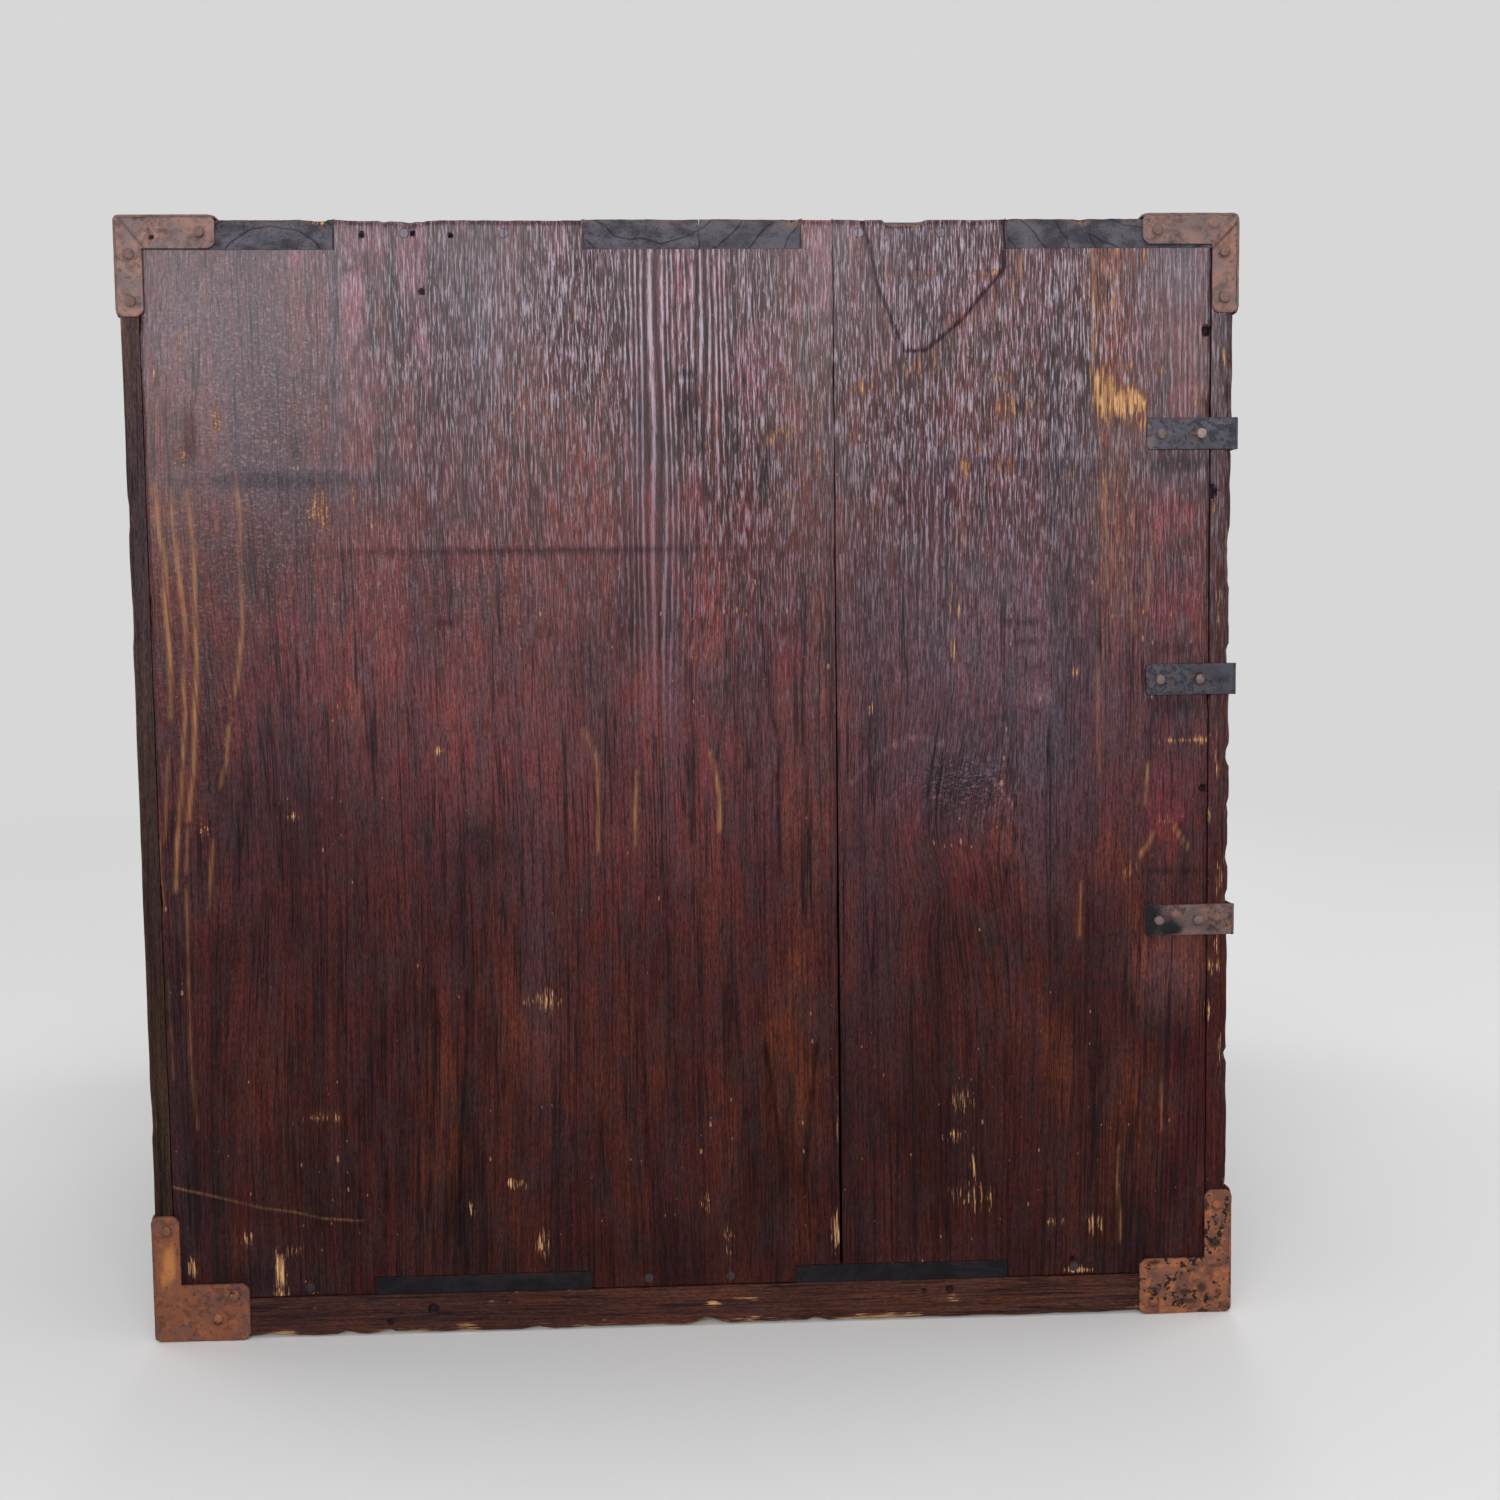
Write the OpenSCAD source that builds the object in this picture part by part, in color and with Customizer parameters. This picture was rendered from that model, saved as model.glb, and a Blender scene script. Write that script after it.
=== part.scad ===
// Document chest with four drawers and iron corner fittings.
// Millimetres. +Z is up, the drawers face -Y, and X runs across the width.
// The origin is on the floor, at the middle of everything the chest covers.

/* [Case] */
// Height from the floor to the top board's upper face
case_h = 455; // [430:1:560]
// Depth from the drawer faces to the outside of the back boards
case_d = 447; // [420:1:520]
// Width across the outside of the side planks
case_w = 450; // [380:1:560]
// Thickness of the side and top planks
plank_t = 12.5; // [12:0.5:18]
// Width of the rear plank of each side
side_rear_plank_w = 275.5; // [200:0.5:300]
// Width of the rear plank of the top
top_rear_plank_w = 222; // [160:1:280]
// Thickness of the bottom board
bottom_t = 7.5; // [6:0.5:14]
// Thickness of the back boards
back_t = 7.5; // [6.5:0.5:14]
// Number of back boards
back_board_count = 3; // [2:1:5]
// Shrinkage gap between two back boards
back_board_gap = 0.6; // [0.4:0.1:2]
// Depth of the front stiles, from front to back
stile_d = 10; // [8:0.5:20]
// Height of the base rails
base_rail_h = 17.5; // [14:0.5:40]
// Width of the base rails
base_rail_w = 24; // [16:1:50]

/* [Rails and runners] */
// Height of the opening for the top drawer
top_opening_h = 67.5; // [60:0.5:90]
// Height of the openings for the two middle drawers
middle_opening_h = 86; // [60:0.5:95]
// Height of the rails between the drawers
rail_h = 14; // [13.5:0.5:24]
// Depth of the rails, from front to back
rail_d = 45; // [30:1:80]
// Length of the tenon at each end of a rail
tenon_l = 5; // [3:0.5:6]
// Shoulder round each tenon
tenon_shoulder = 3; // [2:0.5:4]
// Width of the runners behind the rails
runner_w = 18; // [12:1:40]

/* [Drawers] */
// Thickness of the drawer fronts
front_t = 15; // [12:0.5:20]
// Thickness of wood left in front of the drawer sides
front_lap = 6; // [3:0.5:8]
// Thickness of the drawer sides and backs
drawer_side_t = 9; // [6:0.5:14]
// Thickness of the drawer bottoms
drawer_bottom_t = 6; // [4:0.5:10]
// Gap between a drawer and the case on each side
drawer_side_gap = 0.6; // [0.3:0.1:2]
// Gap above a drawer
drawer_top_gap = 1; // [0.5:0.1:3]
// Gap between a drawer and what it slides on
slide_gap = 0.3; // [0.2:0.05:0.6]
// Gap behind a closed drawer
drawer_back_gap = 2; // [1:0.5:8]

/* [Handles] */
// Distance between the two eye pins of a handle
bail_span = 84; // [60:1:140]
// Drop of the bail, from its pivot to the middle of its grip
bail_drop = 30; // [22:1:36]
// Diameter of the bail's rod
bail_rod_d = 5; // [4:0.5:8]
// Radius of the bail's lower corners
bail_corner_r = 16; // [10:1:20]
// Diameter of the bail's pivot ends
pivot_d = 4; // [3:0.5:5]
// Running gap all round a pivot end
pivot_gap = 0.06; // [0.02:0.01:0.1]
// Distance from the drawer's face to the bail's pivot
pivot_reach = 9; // [7:0.5:14]
// Diameter of the pin's eye
eye_d = 8.5; // [8:0.5:12]
// Width of the pin's eye
eye_w = 6; // [4:0.5:8]
// Diameter of the pin's shank
pin_d = 5; // [3:0.5:6]
// Diameter of the plate under the eye
plate_d = 20; // [14:1:30]
// Thickness of the plate under the eye
plate_t = 1.2; // [0.8:0.1:2]
// Length of the pin's legs, spread flat inside the drawer
clench_l = 22; // [12:1:30]
// Height of the bail's pivot above the middle of its drawer
bail_rise = 12; // [8:1:16]

/* [Iron fittings] */
// Thickness of the sheet iron
iron_t = 1.2; // [0.8:0.1:2]
// Length of the arms of the top fittings
top_arm_l = 38.5; // [30:0.5:48]
// Width of the arms of the top fittings that lie along the top board
top_arm_w = 11.3; // [8:0.1:11.8]
// Width of the arms of the top fittings that run down
top_upright_w = 10; // [8:0.5:12]
// Length of the lower arms of the bottom fittings
foot_arm_l = 38; // [30:0.5:48]
// Height of the whole bottom fittings
foot_iron_h = 53; // [46:0.5:70]
// Width of the upright arms of the bottom fittings
foot_upright_w = 10.5; // [9:0.5:12]
// Wood left showing between a bottom fitting and the bottom drawer
foot_iron_margin = 1; // [0.5:0.5:3]
// Cut corner at the end of each arm
arm_chamfer = 2.5; // [1:0.5:4]
// Wood left showing above and below a strap, on its rail
strap_margin = 0.5; // [0.25:0.25:2]
// Length of the straps along the side
strap_side_l = 36.5; // [28:0.5:60]
// Length of the straps along the front
strap_front_l = 42; // [28:0.5:70]

/* [Nails and pegs] */
// Diameter of the nails' shanks
nail_d = 1.8; // [1.2:0.1:2.4]
// Diameter of the nails' heads
nail_head_d = 4.4; // [3:0.1:6]
// Height of the nails' domed heads
nail_head_h = 1; // [0.5:0.1:1.6]
// Depth that an iron nail reaches into the wood
nail_bite = 5.5; // [3:0.5:6]
// Distance from the end of a fitting's arm to its nail
end_nail_inset = 6; // [4:0.5:9]
// Step that keeps the nails of neighbouring faces clear of each other
nail_stagger = 5; // [3.5:0.5:7]
// Diameter of the pegs in the finger joints
peg_d = 4; // [3:0.5:5]
// Length of the pegs in the finger joints
peg_l = 28; // [20:1:40]
// Length of the nails in the back boards
back_nail_l = 22; // [16:1:30]

/* [Hidden] */
$fn = 48;

// Places, from the driving sizes above.
half_w = case_w / 2;
inner_half_w = half_w - plank_t;
front_reach = pivot_reach + eye_d / 2;
back_reach = iron_t + nail_head_h;
front_y = (front_reach - back_reach - case_d) / 2;
back_y = front_y + case_d;
back_inner_y = back_y - back_t;
side_joint_y = back_inner_y - side_rear_plank_w;
top_joint_y = back_inner_y - top_rear_plank_w;
top_z = case_h - plank_t;
floor_z = base_rail_h + bottom_t;

// The finger joints divide the depth from the rear. Even gaps belong to the top board,
// and odd gaps to the bottom board.
top_marks = [0, 0.19, 0.41, 0.605, 0.79, 1];
foot_marks = [0, 0.2, 0.4, 0.59, 0.79, 1];

// Drawer openings, from the top down: [underside, height]. The last one takes what is left.
rail_zs = [
    top_z - top_opening_h - rail_h,
    top_z - top_opening_h - middle_opening_h - 2 * rail_h,
    top_z - top_opening_h - 2 * middle_opening_h - 3 * rail_h
];
openings = [
    [rail_zs[0] + rail_h, top_opening_h],
    [rail_zs[1] + rail_h, middle_opening_h],
    [rail_zs[2] + rail_h, middle_opening_h],
    [floor_z, rail_zs[2] - floor_z]
];
drawer_half_w = inner_half_w - drawer_side_gap;
drawer_rear_y = back_inner_y - drawer_back_gap;

// Heights that follow from the wood under them.
foot_arm_h = floor_z - foot_iron_margin;
strap_w = rail_h - 2 * strap_margin;

// Nails in the fittings, as [distance along from the case's corner, distance up or down].
top_nail_l = top_arm_l - end_nail_inset;
foot_nail_l = foot_arm_l - end_nail_inset;
foot_nail_h = foot_iron_h - end_nail_inset;
inner_nail_step = 3;
foot_nail_step = 7;
strap_nail_step = 4;
top_side_nails = [
    [top_nail_l, top_arm_w / 2],
    [top_upright_w / 2, top_arm_w + inner_nail_step],
    [top_upright_w / 2, top_nail_l]
];
top_end_nails = [
    [top_nail_l - nail_stagger, top_arm_w / 2],
    [top_upright_w / 2, top_nail_l - nail_stagger]
];
top_face_nail_l = top_nail_l - 2 * nail_stagger;

// Heights of the nails in the bottom fittings' arms, as shares of an arm's height: the rear's two,
// the front's one, and the one on each end face.
foot_rear_shares = [0.4, 0.8];
foot_front_share = 0.25;
foot_end_share = 0.6;
foot_rear_side_nails = [
    [foot_nail_l - foot_nail_step, foot_arm_h * foot_rear_shares[0]],
    [foot_nail_l, foot_arm_h * foot_rear_shares[1]],
    [foot_upright_w / 2, foot_nail_h]
];
foot_front_side_nails = [
    [foot_nail_l, foot_arm_h * foot_front_share],
    [foot_upright_w / 2, foot_nail_h]
];
foot_end_nails = [
    [foot_nail_l - nail_stagger, foot_arm_h * foot_end_share],
    [foot_upright_w / 2, foot_arm_h + nail_stagger],
    [foot_upright_w / 2, foot_nail_h - nail_stagger]
];
strap_side_nails = [strap_side_l - end_nail_inset, stile_d + strap_nail_step];
strap_front_nails = [plank_t / 2, strap_front_l - end_nail_inset];

// Pegs in the fingers, as shares of a finger: the end fingers have one, clear of the fittings.
end_peg_share = 0.7;
inner_peg_shares = [0.28, 0.68];

// Back boards and their nails, as shares of a board and of the side's height.
board_pitch = (case_w + back_board_gap) / back_board_count;
board_nail_shares = [0.3, 0.7];
side_nail_shares = [0.3, 0.5, 0.7];
fitting_clear = max(top_arm_l, foot_arm_l) + nail_head_d;

// Handle details: the pin's flattened legs, the plate's gap round the pin, the gap beside the
// eye, and how far a pivot end's stop ball stands out round it.
clench_t = 1.2;
clench_h = 4;
plate_gap = 0.2;
eye_side_gap = 0.4;
stop_extra_r = 1;

// How far a cut runs past the wood it goes through.
cut = 1;

wood = "#5b2a20";
end_grain = "#3b3034";
front_wood = "#4a2018";
raw_wood = "#b98f5e";
rust = "#7d4a35";
dark_iron = "#3a3230";

function mark_y(mark) = back_y - case_d * mark;

// A box from its lowest to its highest corner.
module block(low, high) {
    translate(low) cube(high - low);
}

// Draws its children for one side: -1 is the left, as drawn, and 1 the right.
module on_side(side) {
    if (side < 0) children();
    else mirror([1, 0, 0]) children();
}

// Nails and their holes

// A nail that points along -Z from the origin: a shank below, and a domed head above.
module nail(shank_l) {
    translate([0, 0, -shank_l]) cylinder(d = nail_d, h = shank_l);
    dome_r = (nail_head_d * nail_head_d / 4 + nail_head_h * nail_head_h) / (2 * nail_head_h);
    intersection() {
        translate([0, 0, nail_head_h - dome_r]) sphere(r = dome_r);
        cylinder(d = nail_head_d, h = nail_head_h);
    }
}

// Only the shank of the same nail, longer at its head end, for cutting its hole.
module nail_hole(shank_l) {
    translate([0, 0, -shank_l]) cylinder(d = nail_d, h = shank_l + cut);
}

// Places its children at a point of the left face, pointing into the wood.
module into_left(y, z) {
    translate([-half_w - iron_t, y, z]) rotate([0, -90, 0]) children();
}

// The same on the front and the rear, x from the left corner.
module into_front(x, z) {
    translate([-half_w + x, front_y - iron_t, z]) rotate([90, 0, 0]) children();
}

module into_rear(x, z) {
    translate([-half_w + x, back_y + iron_t, z]) rotate([-90, 0, 0]) children();
}

module into_top(x, y) {
    translate([-half_w + x, y, case_h + iron_t]) children();
}

// Puts its children at every nail of the left half's iron fittings.
module at_left_iron_nails() {
    for (n = top_side_nails) {
        into_left(back_y - n[0], case_h - n[1]) children();
        into_left(front_y + n[0], case_h - n[1]) children();
    }
    for (n = foot_rear_side_nails) into_left(back_y - n[0], n[1]) children();
    for (n = foot_front_side_nails) into_left(front_y + n[0], n[1]) children();
    for (n = top_end_nails) {
        into_front(n[0], case_h - n[1]) children();
        into_rear(n[0], case_h - n[1]) children();
    }
    for (n = foot_end_nails) {
        into_front(n[0], n[1]) children();
        into_rear(n[0], n[1]) children();
    }
    for (n = [[top_face_nail_l, top_arm_w / 2], [top_arm_w / 2, top_face_nail_l]]) {
        into_top(n[0], front_y + n[1]) children();
        into_top(n[0], back_y - n[1]) children();
    }
    for (z = rail_zs) {
        for (y = strap_side_nails) into_left(front_y + y, z + rail_h / 2) children();
        for (x = strap_front_nails) into_front(x, z + rail_h / 2) children();
    }
}

module iron_nail_holes() {
    for (side = [-1, 1]) on_side(side) at_left_iron_nails() nail_hole(iron_t + nail_bite);
}

// Pegs in the finger joints
function peg_shares(gap) =
    gap == 0 ? [end_peg_share] : gap == 4 ? [1 - end_peg_share] : inner_peg_shares;

function peg_y(marks, gap, share) = mark_y(marks[gap] + (marks[gap + 1] - marks[gap]) * share);

module left_joint_pegs(extra) {
    // Through the side's fingers into the ends of the top board.
    for (gap = [1, 3]) for (share = peg_shares(gap))
        translate([-half_w - extra, peg_y(top_marks, gap, share), case_h - plank_t / 2])
            rotate([0, 90, 0]) cylinder(d = peg_d, h = peg_l + extra);
    // Down through the top board's fingers into the side.
    for (gap = [0, 2, 4]) for (share = peg_shares(gap))
        translate([-half_w + plank_t / 2, peg_y(top_marks, gap, share), case_h - peg_l])
            cylinder(d = peg_d, h = peg_l + extra);
    // Through the side's fingers into the ends of the bottom board.
    for (gap = [0, 2, 4]) for (share = peg_shares(gap))
        translate([-half_w - extra, peg_y(foot_marks, gap, share), base_rail_h + bottom_t / 2])
            rotate([0, 90, 0]) cylinder(d = peg_d, h = peg_l + extra);
}

module joint_peg_holes() {
    for (side = [-1, 1]) on_side(side) left_joint_pegs(cut);
}

// Nails through the back boards: a row into the top board, one into the bottom board, and a few
// into each side.
function board_nail_x(i, share) =
    min(max(board_pitch * (i + share), fitting_clear), case_w - fitting_clear) - half_w;

module at_back_nails() {
    for (i = [0 : back_board_count - 1]) for (share = board_nail_shares)
        for (z = [case_h - plank_t / 2, base_rail_h + bottom_t / 2])
            translate([board_nail_x(i, share), back_y, z]) rotate([-90, 0, 0]) children();
    for (side = [-1, 1]) for (share = side_nail_shares)
        translate([side * (half_w - plank_t / 2), back_y, floor_z + (top_z - floor_z) * share])
            rotate([-90, 0, 0]) children();
}

module back_nail_holes() {
    at_back_nails() nail_hole(back_nail_l);
}

// Case woodwork

module side_plank(low_y, high_y) {
    color(wood) difference() {
        block([-half_w, low_y, base_rail_h], [-inner_half_w, high_y, case_h]);
        for (gap = [0, 2, 4])
            block([-half_w - cut, mark_y(top_marks[gap + 1]), top_z],
                  [-inner_half_w + cut, mark_y(top_marks[gap]) + (gap == 0 ? cut : 0), case_h + cut]);
        for (gap = [1, 3])
            block([-half_w - cut, mark_y(foot_marks[gap + 1]), base_rail_h - cut],
                  [-inner_half_w + cut, mark_y(foot_marks[gap]), floor_z]);
        for (z = rail_zs) left_tenon(z);
        iron_nail_holes();
        joint_peg_holes();
        back_nail_holes();
    }
}

module side_rear_plank() {
    side_plank(side_joint_y, back_inner_y);
}

module side_front_plank() {
    side_plank(front_y + stile_d, side_joint_y);
}

module front_stile() {
    color(wood) difference() {
        block([-half_w, front_y, base_rail_h], [-inner_half_w, front_y + stile_d, top_z]);
        iron_nail_holes();
    }
}

module top_plank(low_y, high_y) {
    color(wood) difference() {
        block([-half_w, low_y, top_z], [half_w, high_y, case_h]);
        for (side = [-1, 1]) on_side(side) for (gap = [1, 3])
            block([-half_w - cut, mark_y(top_marks[gap + 1]), top_z - cut],
                  [-inner_half_w, mark_y(top_marks[gap]), case_h + cut]);
        iron_nail_holes();
        joint_peg_holes();
        back_nail_holes();
    }
}

module top_rear_plank() {
    top_plank(top_joint_y, back_inner_y);
}

module top_front_plank() {
    top_plank(front_y, top_joint_y);
}

module bottom_board() {
    color(raw_wood) difference() {
        block([-half_w, front_y, base_rail_h], [half_w, back_inner_y, floor_z]);
        for (side = [-1, 1]) on_side(side) for (gap = [0, 2, 4])
            block([-half_w - cut, mark_y(foot_marks[gap + 1]) - (gap == 4 ? cut : 0), base_rail_h - cut],
                  [-inner_half_w, mark_y(foot_marks[gap]), floor_z + cut]);
        iron_nail_holes();
        joint_peg_holes();
        back_nail_holes();
    }
}

module back_boards() {
    color(wood) difference() {
        for (i = [0 : back_board_count - 1])
            block([-half_w + board_pitch * i, back_inner_y, base_rail_h],
                  [-half_w + board_pitch * (i + 1) - back_board_gap, back_y, case_h]);
        iron_nail_holes();
        back_nail_holes();
    }
}

module left_tenon(z) {
    block([-inner_half_w - tenon_l, front_y + stile_d + tenon_shoulder, z + tenon_shoulder],
          [-inner_half_w, front_y + rail_d - tenon_shoulder, z + rail_h - tenon_shoulder]);
}

module rail(i) {
    z = rail_zs[i];
    color(front_wood) difference() {
        union() {
            block([-inner_half_w, front_y, z], [inner_half_w, front_y + rail_d, z + rail_h]);
            for (side = [-1, 1]) on_side(side) left_tenon(z);
        }
        iron_nail_holes();
    }
}

module runners() {
    color(raw_wood) for (z = rail_zs)
        block([-inner_half_w, front_y + rail_d, z], [-inner_half_w + runner_w, back_inner_y, z + rail_h]);
}

module side_base_rail() {
    color(wood) difference() {
        block([-half_w, front_y, 0], [-half_w + base_rail_w, back_y, base_rail_h]);
        iron_nail_holes();
    }
}

module cross_base_rail(low_y) {
    color(wood) difference() {
        block([-half_w + base_rail_w, low_y, 0], [half_w - base_rail_w, low_y + base_rail_w, base_rail_h]);
        iron_nail_holes();
    }
}

// Iron fittings

// An L of sheet in the XY plane with its corner at the origin: arm_l by arm_w along X,
// and up_l by up_w along Y, with the free ends' corners cut.
module angle_sheet(arm_l, arm_w, up_l, up_w) {
    linear_extrude(iron_t) polygon([
        [0, 0],
        [arm_l - arm_chamfer, 0], [arm_l, arm_chamfer],
        [arm_l, arm_w - arm_chamfer], [arm_l - arm_chamfer, arm_w],
        [up_w, arm_w],
        [up_w, up_l - arm_chamfer], [up_w - arm_chamfer, up_l],
        [arm_chamfer, up_l], [0, up_l - arm_chamfer]
    ]);
}

// Puts a corner's frame at a corner of the left side: X, Y and Z all point into the chest.
module at_left_corner(front, top) {
    translate([-half_w, front ? front_y : back_y, top ? case_h : 0])
        mirror([0, 0, top ? 1 : 0]) mirror([0, front ? 0 : 1, 0]) children();
}

// Sheet bent round a top corner: an L on the end face, on the side and on the top.
module top_iron(front) {
    arm_l = top_arm_l + iron_t;
    arm_w = top_arm_w + iron_t;
    color(rust) difference() {
        at_left_corner(front, true) {
            translate([-iron_t, -iron_t, -iron_t]) angle_sheet(arm_l, arm_w, arm_l, arm_w);
            both_ways() side_sheet(arm_l, arm_w, arm_l, top_upright_w + iron_t, iron_t);
        }
        iron_nail_holes();
    }
}

// Sheet on the side's face, in a corner's frame: an arm along Y, an upright along Z, begun
// overhang below the corner.
module side_sheet(arm_l, arm_w, up_l, up_w, overhang) {
    rotate([90, 0, 90]) translate([-iron_t, -overhang, -iron_t]) angle_sheet(arm_l, arm_w, up_l, up_w);
}

// Its children, and the same with X and Y changed over, for the end face.
module both_ways() {
    children();
    mirror([1, -1, 0]) children();
}

// Sheet bent round a bottom corner: an L on the end face and one on the side, down to the floor.
module bottom_iron(front) {
    color(rust) difference() {
        at_left_corner(front, false) both_ways()
            side_sheet(foot_arm_l + iron_t, foot_arm_h, foot_iron_h, foot_upright_w + iron_t, 0);
        iron_nail_holes();
    }
}

module straps() {
    color(dark_iron) difference() {
        for (z = rail_zs) {
            low_z = z + (rail_h - strap_w) / 2;
            block([-half_w - iron_t, front_y - iron_t, low_z],
                  [-half_w, front_y + strap_side_l, low_z + strap_w]);
            block([-half_w - iron_t, front_y - iron_t, low_z],
                  [-half_w + strap_front_l, front_y, low_z + strap_w]);
        }
        iron_nail_holes();
    }
}

module iron_nails() {
    color(dark_iron) for (side = [-1, 1]) on_side(side) at_left_iron_nails() nail(iron_t + nail_bite);
}

module joint_pegs() {
    color(end_grain) for (side = [-1, 1]) on_side(side) left_joint_pegs(0);
}

module back_nails() {
    color(dark_iron) at_back_nails() nail(back_nail_l);
}

// Drawers, numbered from the top

function drawer_low(i) = openings[i][0] + slide_gap;
function drawer_high(i) = openings[i][0] + openings[i][1] - drawer_top_gap;
function pivot_z(i) = (drawer_low(i) + drawer_high(i)) / 2 + bail_rise;

module drawer_front(i) {
    low = drawer_low(i);
    high = drawer_high(i);
    lap_y = front_y + front_lap;
    rear_y = front_y + front_t;
    color(front_wood) difference() {
        block([-drawer_half_w, front_y, low], [drawer_half_w, rear_y, high]);
        block([-drawer_half_w - cut, lap_y, low - cut],
              [drawer_half_w + cut, rear_y + cut, low + drawer_bottom_t]);
        for (side = [-1, 1]) on_side(side)
            block([-drawer_half_w - cut, lap_y, low - cut],
                  [-drawer_half_w + drawer_side_t, rear_y + cut, high + cut]);
        at_mounts(i) rotate([-90, 0, 0]) translate([0, 0, -cut]) cylinder(d = pin_d, h = front_t + 2 * cut);
    }
}

module drawer_side(i) {
    color(raw_wood) block([-drawer_half_w, front_y + front_lap, drawer_low(i) + drawer_bottom_t],
                          [-drawer_half_w + drawer_side_t, drawer_rear_y, drawer_high(i)]);
}

module drawer_back(i) {
    side_x = drawer_half_w - drawer_side_t;
    color(raw_wood) block([-side_x, drawer_rear_y - drawer_side_t, drawer_low(i) + drawer_bottom_t],
                          [side_x, drawer_rear_y, drawer_high(i)]);
}

module drawer_bottom(i) {
    color(raw_wood) block([-drawer_half_w, front_y + front_lap, drawer_low(i)],
                          [drawer_half_w, drawer_rear_y, drawer_low(i) + drawer_bottom_t]);
}

// Puts its children where each eye pin enters the drawer's face.
module at_mounts(i) {
    for (side = [-1, 1]) translate([side * bail_span / 2, front_y, pivot_z(i)]) children();
}

// A round plate, and a pin with an eye in front and two legs spread flat behind.
module handle_mounts(i) {
    color(dark_iron) at_mounts(i) {
        difference() {
            rotate([90, 0, 0]) cylinder(d = plate_d, h = plate_t);
            rotate([90, 0, 0]) translate([0, 0, -cut])
                cylinder(d = pin_d + 2 * plate_gap, h = plate_t + 2 * cut);
        }
        difference() {
            union() {
                translate([0, front_t, 0]) rotate([90, 0, 0]) cylinder(d = pin_d, h = front_t + pivot_reach);
                translate([-eye_w / 2, -pivot_reach, 0]) rotate([0, 90, 0]) cylinder(d = eye_d, h = eye_w);
                block([-clench_l / 2, front_t, -clench_h / 2], [clench_l / 2, front_t + clench_t, clench_h / 2]);
            }
            translate([-eye_w / 2 - cut, -pivot_reach, 0]) rotate([0, 90, 0])
                cylinder(d = pivot_d + 2 * pivot_gap, h = eye_w + 2 * cut);
        }
    }
}

// A drop handle of round rod, drawn in the XY plane and stood up in front of its drawer.
module bail(i) {
    arm_x = bail_span / 2 + eye_w / 2 + eye_side_gap + bail_rod_d / 2;
    stop_r = pivot_d / 2 + stop_extra_r;
    stop_x = bail_span / 2 - eye_w / 2 - eye_side_gap - stop_r;
    bend_x = arm_x - bail_corner_r;
    color(dark_iron) translate([0, front_y - pivot_reach, pivot_z(i)]) rotate([90, 0, 0]) {
        for (side = [-1, 1]) mirror([side < 0 ? 1 : 0, 0, 0]) {
            translate([stop_x, 0, 0]) sphere(r = stop_r);
            translate([stop_x, 0, 0]) rotate([0, 90, 0]) cylinder(d = pivot_d, h = arm_x - stop_x);
            translate([arm_x, 0, 0]) sphere(d = bail_rod_d);
            translate([arm_x, bail_corner_r - bail_drop, 0]) rotate([-90, 0, 0])
                cylinder(d = bail_rod_d, h = bail_drop - bail_corner_r);
            translate([bend_x, bail_corner_r - bail_drop, 0]) rotate([0, 0, -90])
                rotate_extrude(angle = 90) translate([bail_corner_r, 0]) circle(d = bail_rod_d);
        }
        translate([-bend_x, -bail_drop, 0]) rotate([0, 90, 0]) cylinder(d = bail_rod_d, h = 2 * bend_x);
    }
}

on_side(-1) side_rear_plank();  // left_side_rear_plank
on_side(-1) side_front_plank();  // left_side_front_plank
on_side(-1) front_stile();  // left_front_stile
on_side(1) side_rear_plank();  // right_side_rear_plank
on_side(1) side_front_plank();  // right_side_front_plank
on_side(1) front_stile();  // right_front_stile
top_rear_plank();
top_front_plank();
bottom_board();
back_boards();
rail(0);  // upper_rail
rail(1);  // middle_rail
rail(2);  // lower_rail
on_side(-1) runners();  // left_runners
on_side(-1) side_base_rail();  // left_base_rail
on_side(1) runners();  // right_runners
on_side(1) side_base_rail();  // right_base_rail
cross_base_rail(front_y);  // front_base_rail
cross_base_rail(back_y - base_rail_w);  // rear_base_rail
on_side(-1) top_iron(false);  // top_rear_left_iron
on_side(1) top_iron(false);  // top_rear_right_iron
on_side(-1) top_iron(true);  // top_front_left_iron
on_side(1) top_iron(true);  // top_front_right_iron
on_side(-1) bottom_iron(false);  // bottom_rear_left_iron
on_side(1) bottom_iron(false);  // bottom_rear_right_iron
on_side(-1) bottom_iron(true);  // bottom_front_left_iron
on_side(1) bottom_iron(true);  // bottom_front_right_iron
on_side(-1) straps();  // left_straps
on_side(1) straps();  // right_straps
iron_nails();
joint_pegs();
back_nails();
drawer_front(0);  // top_drawer_front
on_side(-1) drawer_side(0);  // top_drawer_left_side
on_side(1) drawer_side(0);  // top_drawer_right_side
drawer_back(0);  // top_drawer_back
drawer_bottom(0);  // top_drawer_bottom
handle_mounts(0);  // top_drawer_handle_mounts
bail(0);  // top_drawer_bail
drawer_front(1);  // upper_drawer_front
on_side(-1) drawer_side(1);  // upper_drawer_left_side
on_side(1) drawer_side(1);  // upper_drawer_right_side
drawer_back(1);  // upper_drawer_back
drawer_bottom(1);  // upper_drawer_bottom
handle_mounts(1);  // upper_drawer_handle_mounts
bail(1);  // upper_drawer_bail
drawer_front(2);  // lower_drawer_front
on_side(-1) drawer_side(2);  // lower_drawer_left_side
on_side(1) drawer_side(2);  // lower_drawer_right_side
drawer_back(2);  // lower_drawer_back
drawer_bottom(2);  // lower_drawer_bottom
handle_mounts(2);  // lower_drawer_handle_mounts
bail(2);  // lower_drawer_bail
drawer_front(3);  // bottom_drawer_front
on_side(-1) drawer_side(3);  // bottom_drawer_left_side
on_side(1) drawer_side(3);  // bottom_drawer_right_side
drawer_back(3);  // bottom_drawer_back
drawer_bottom(3);  // bottom_drawer_bottom
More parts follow.
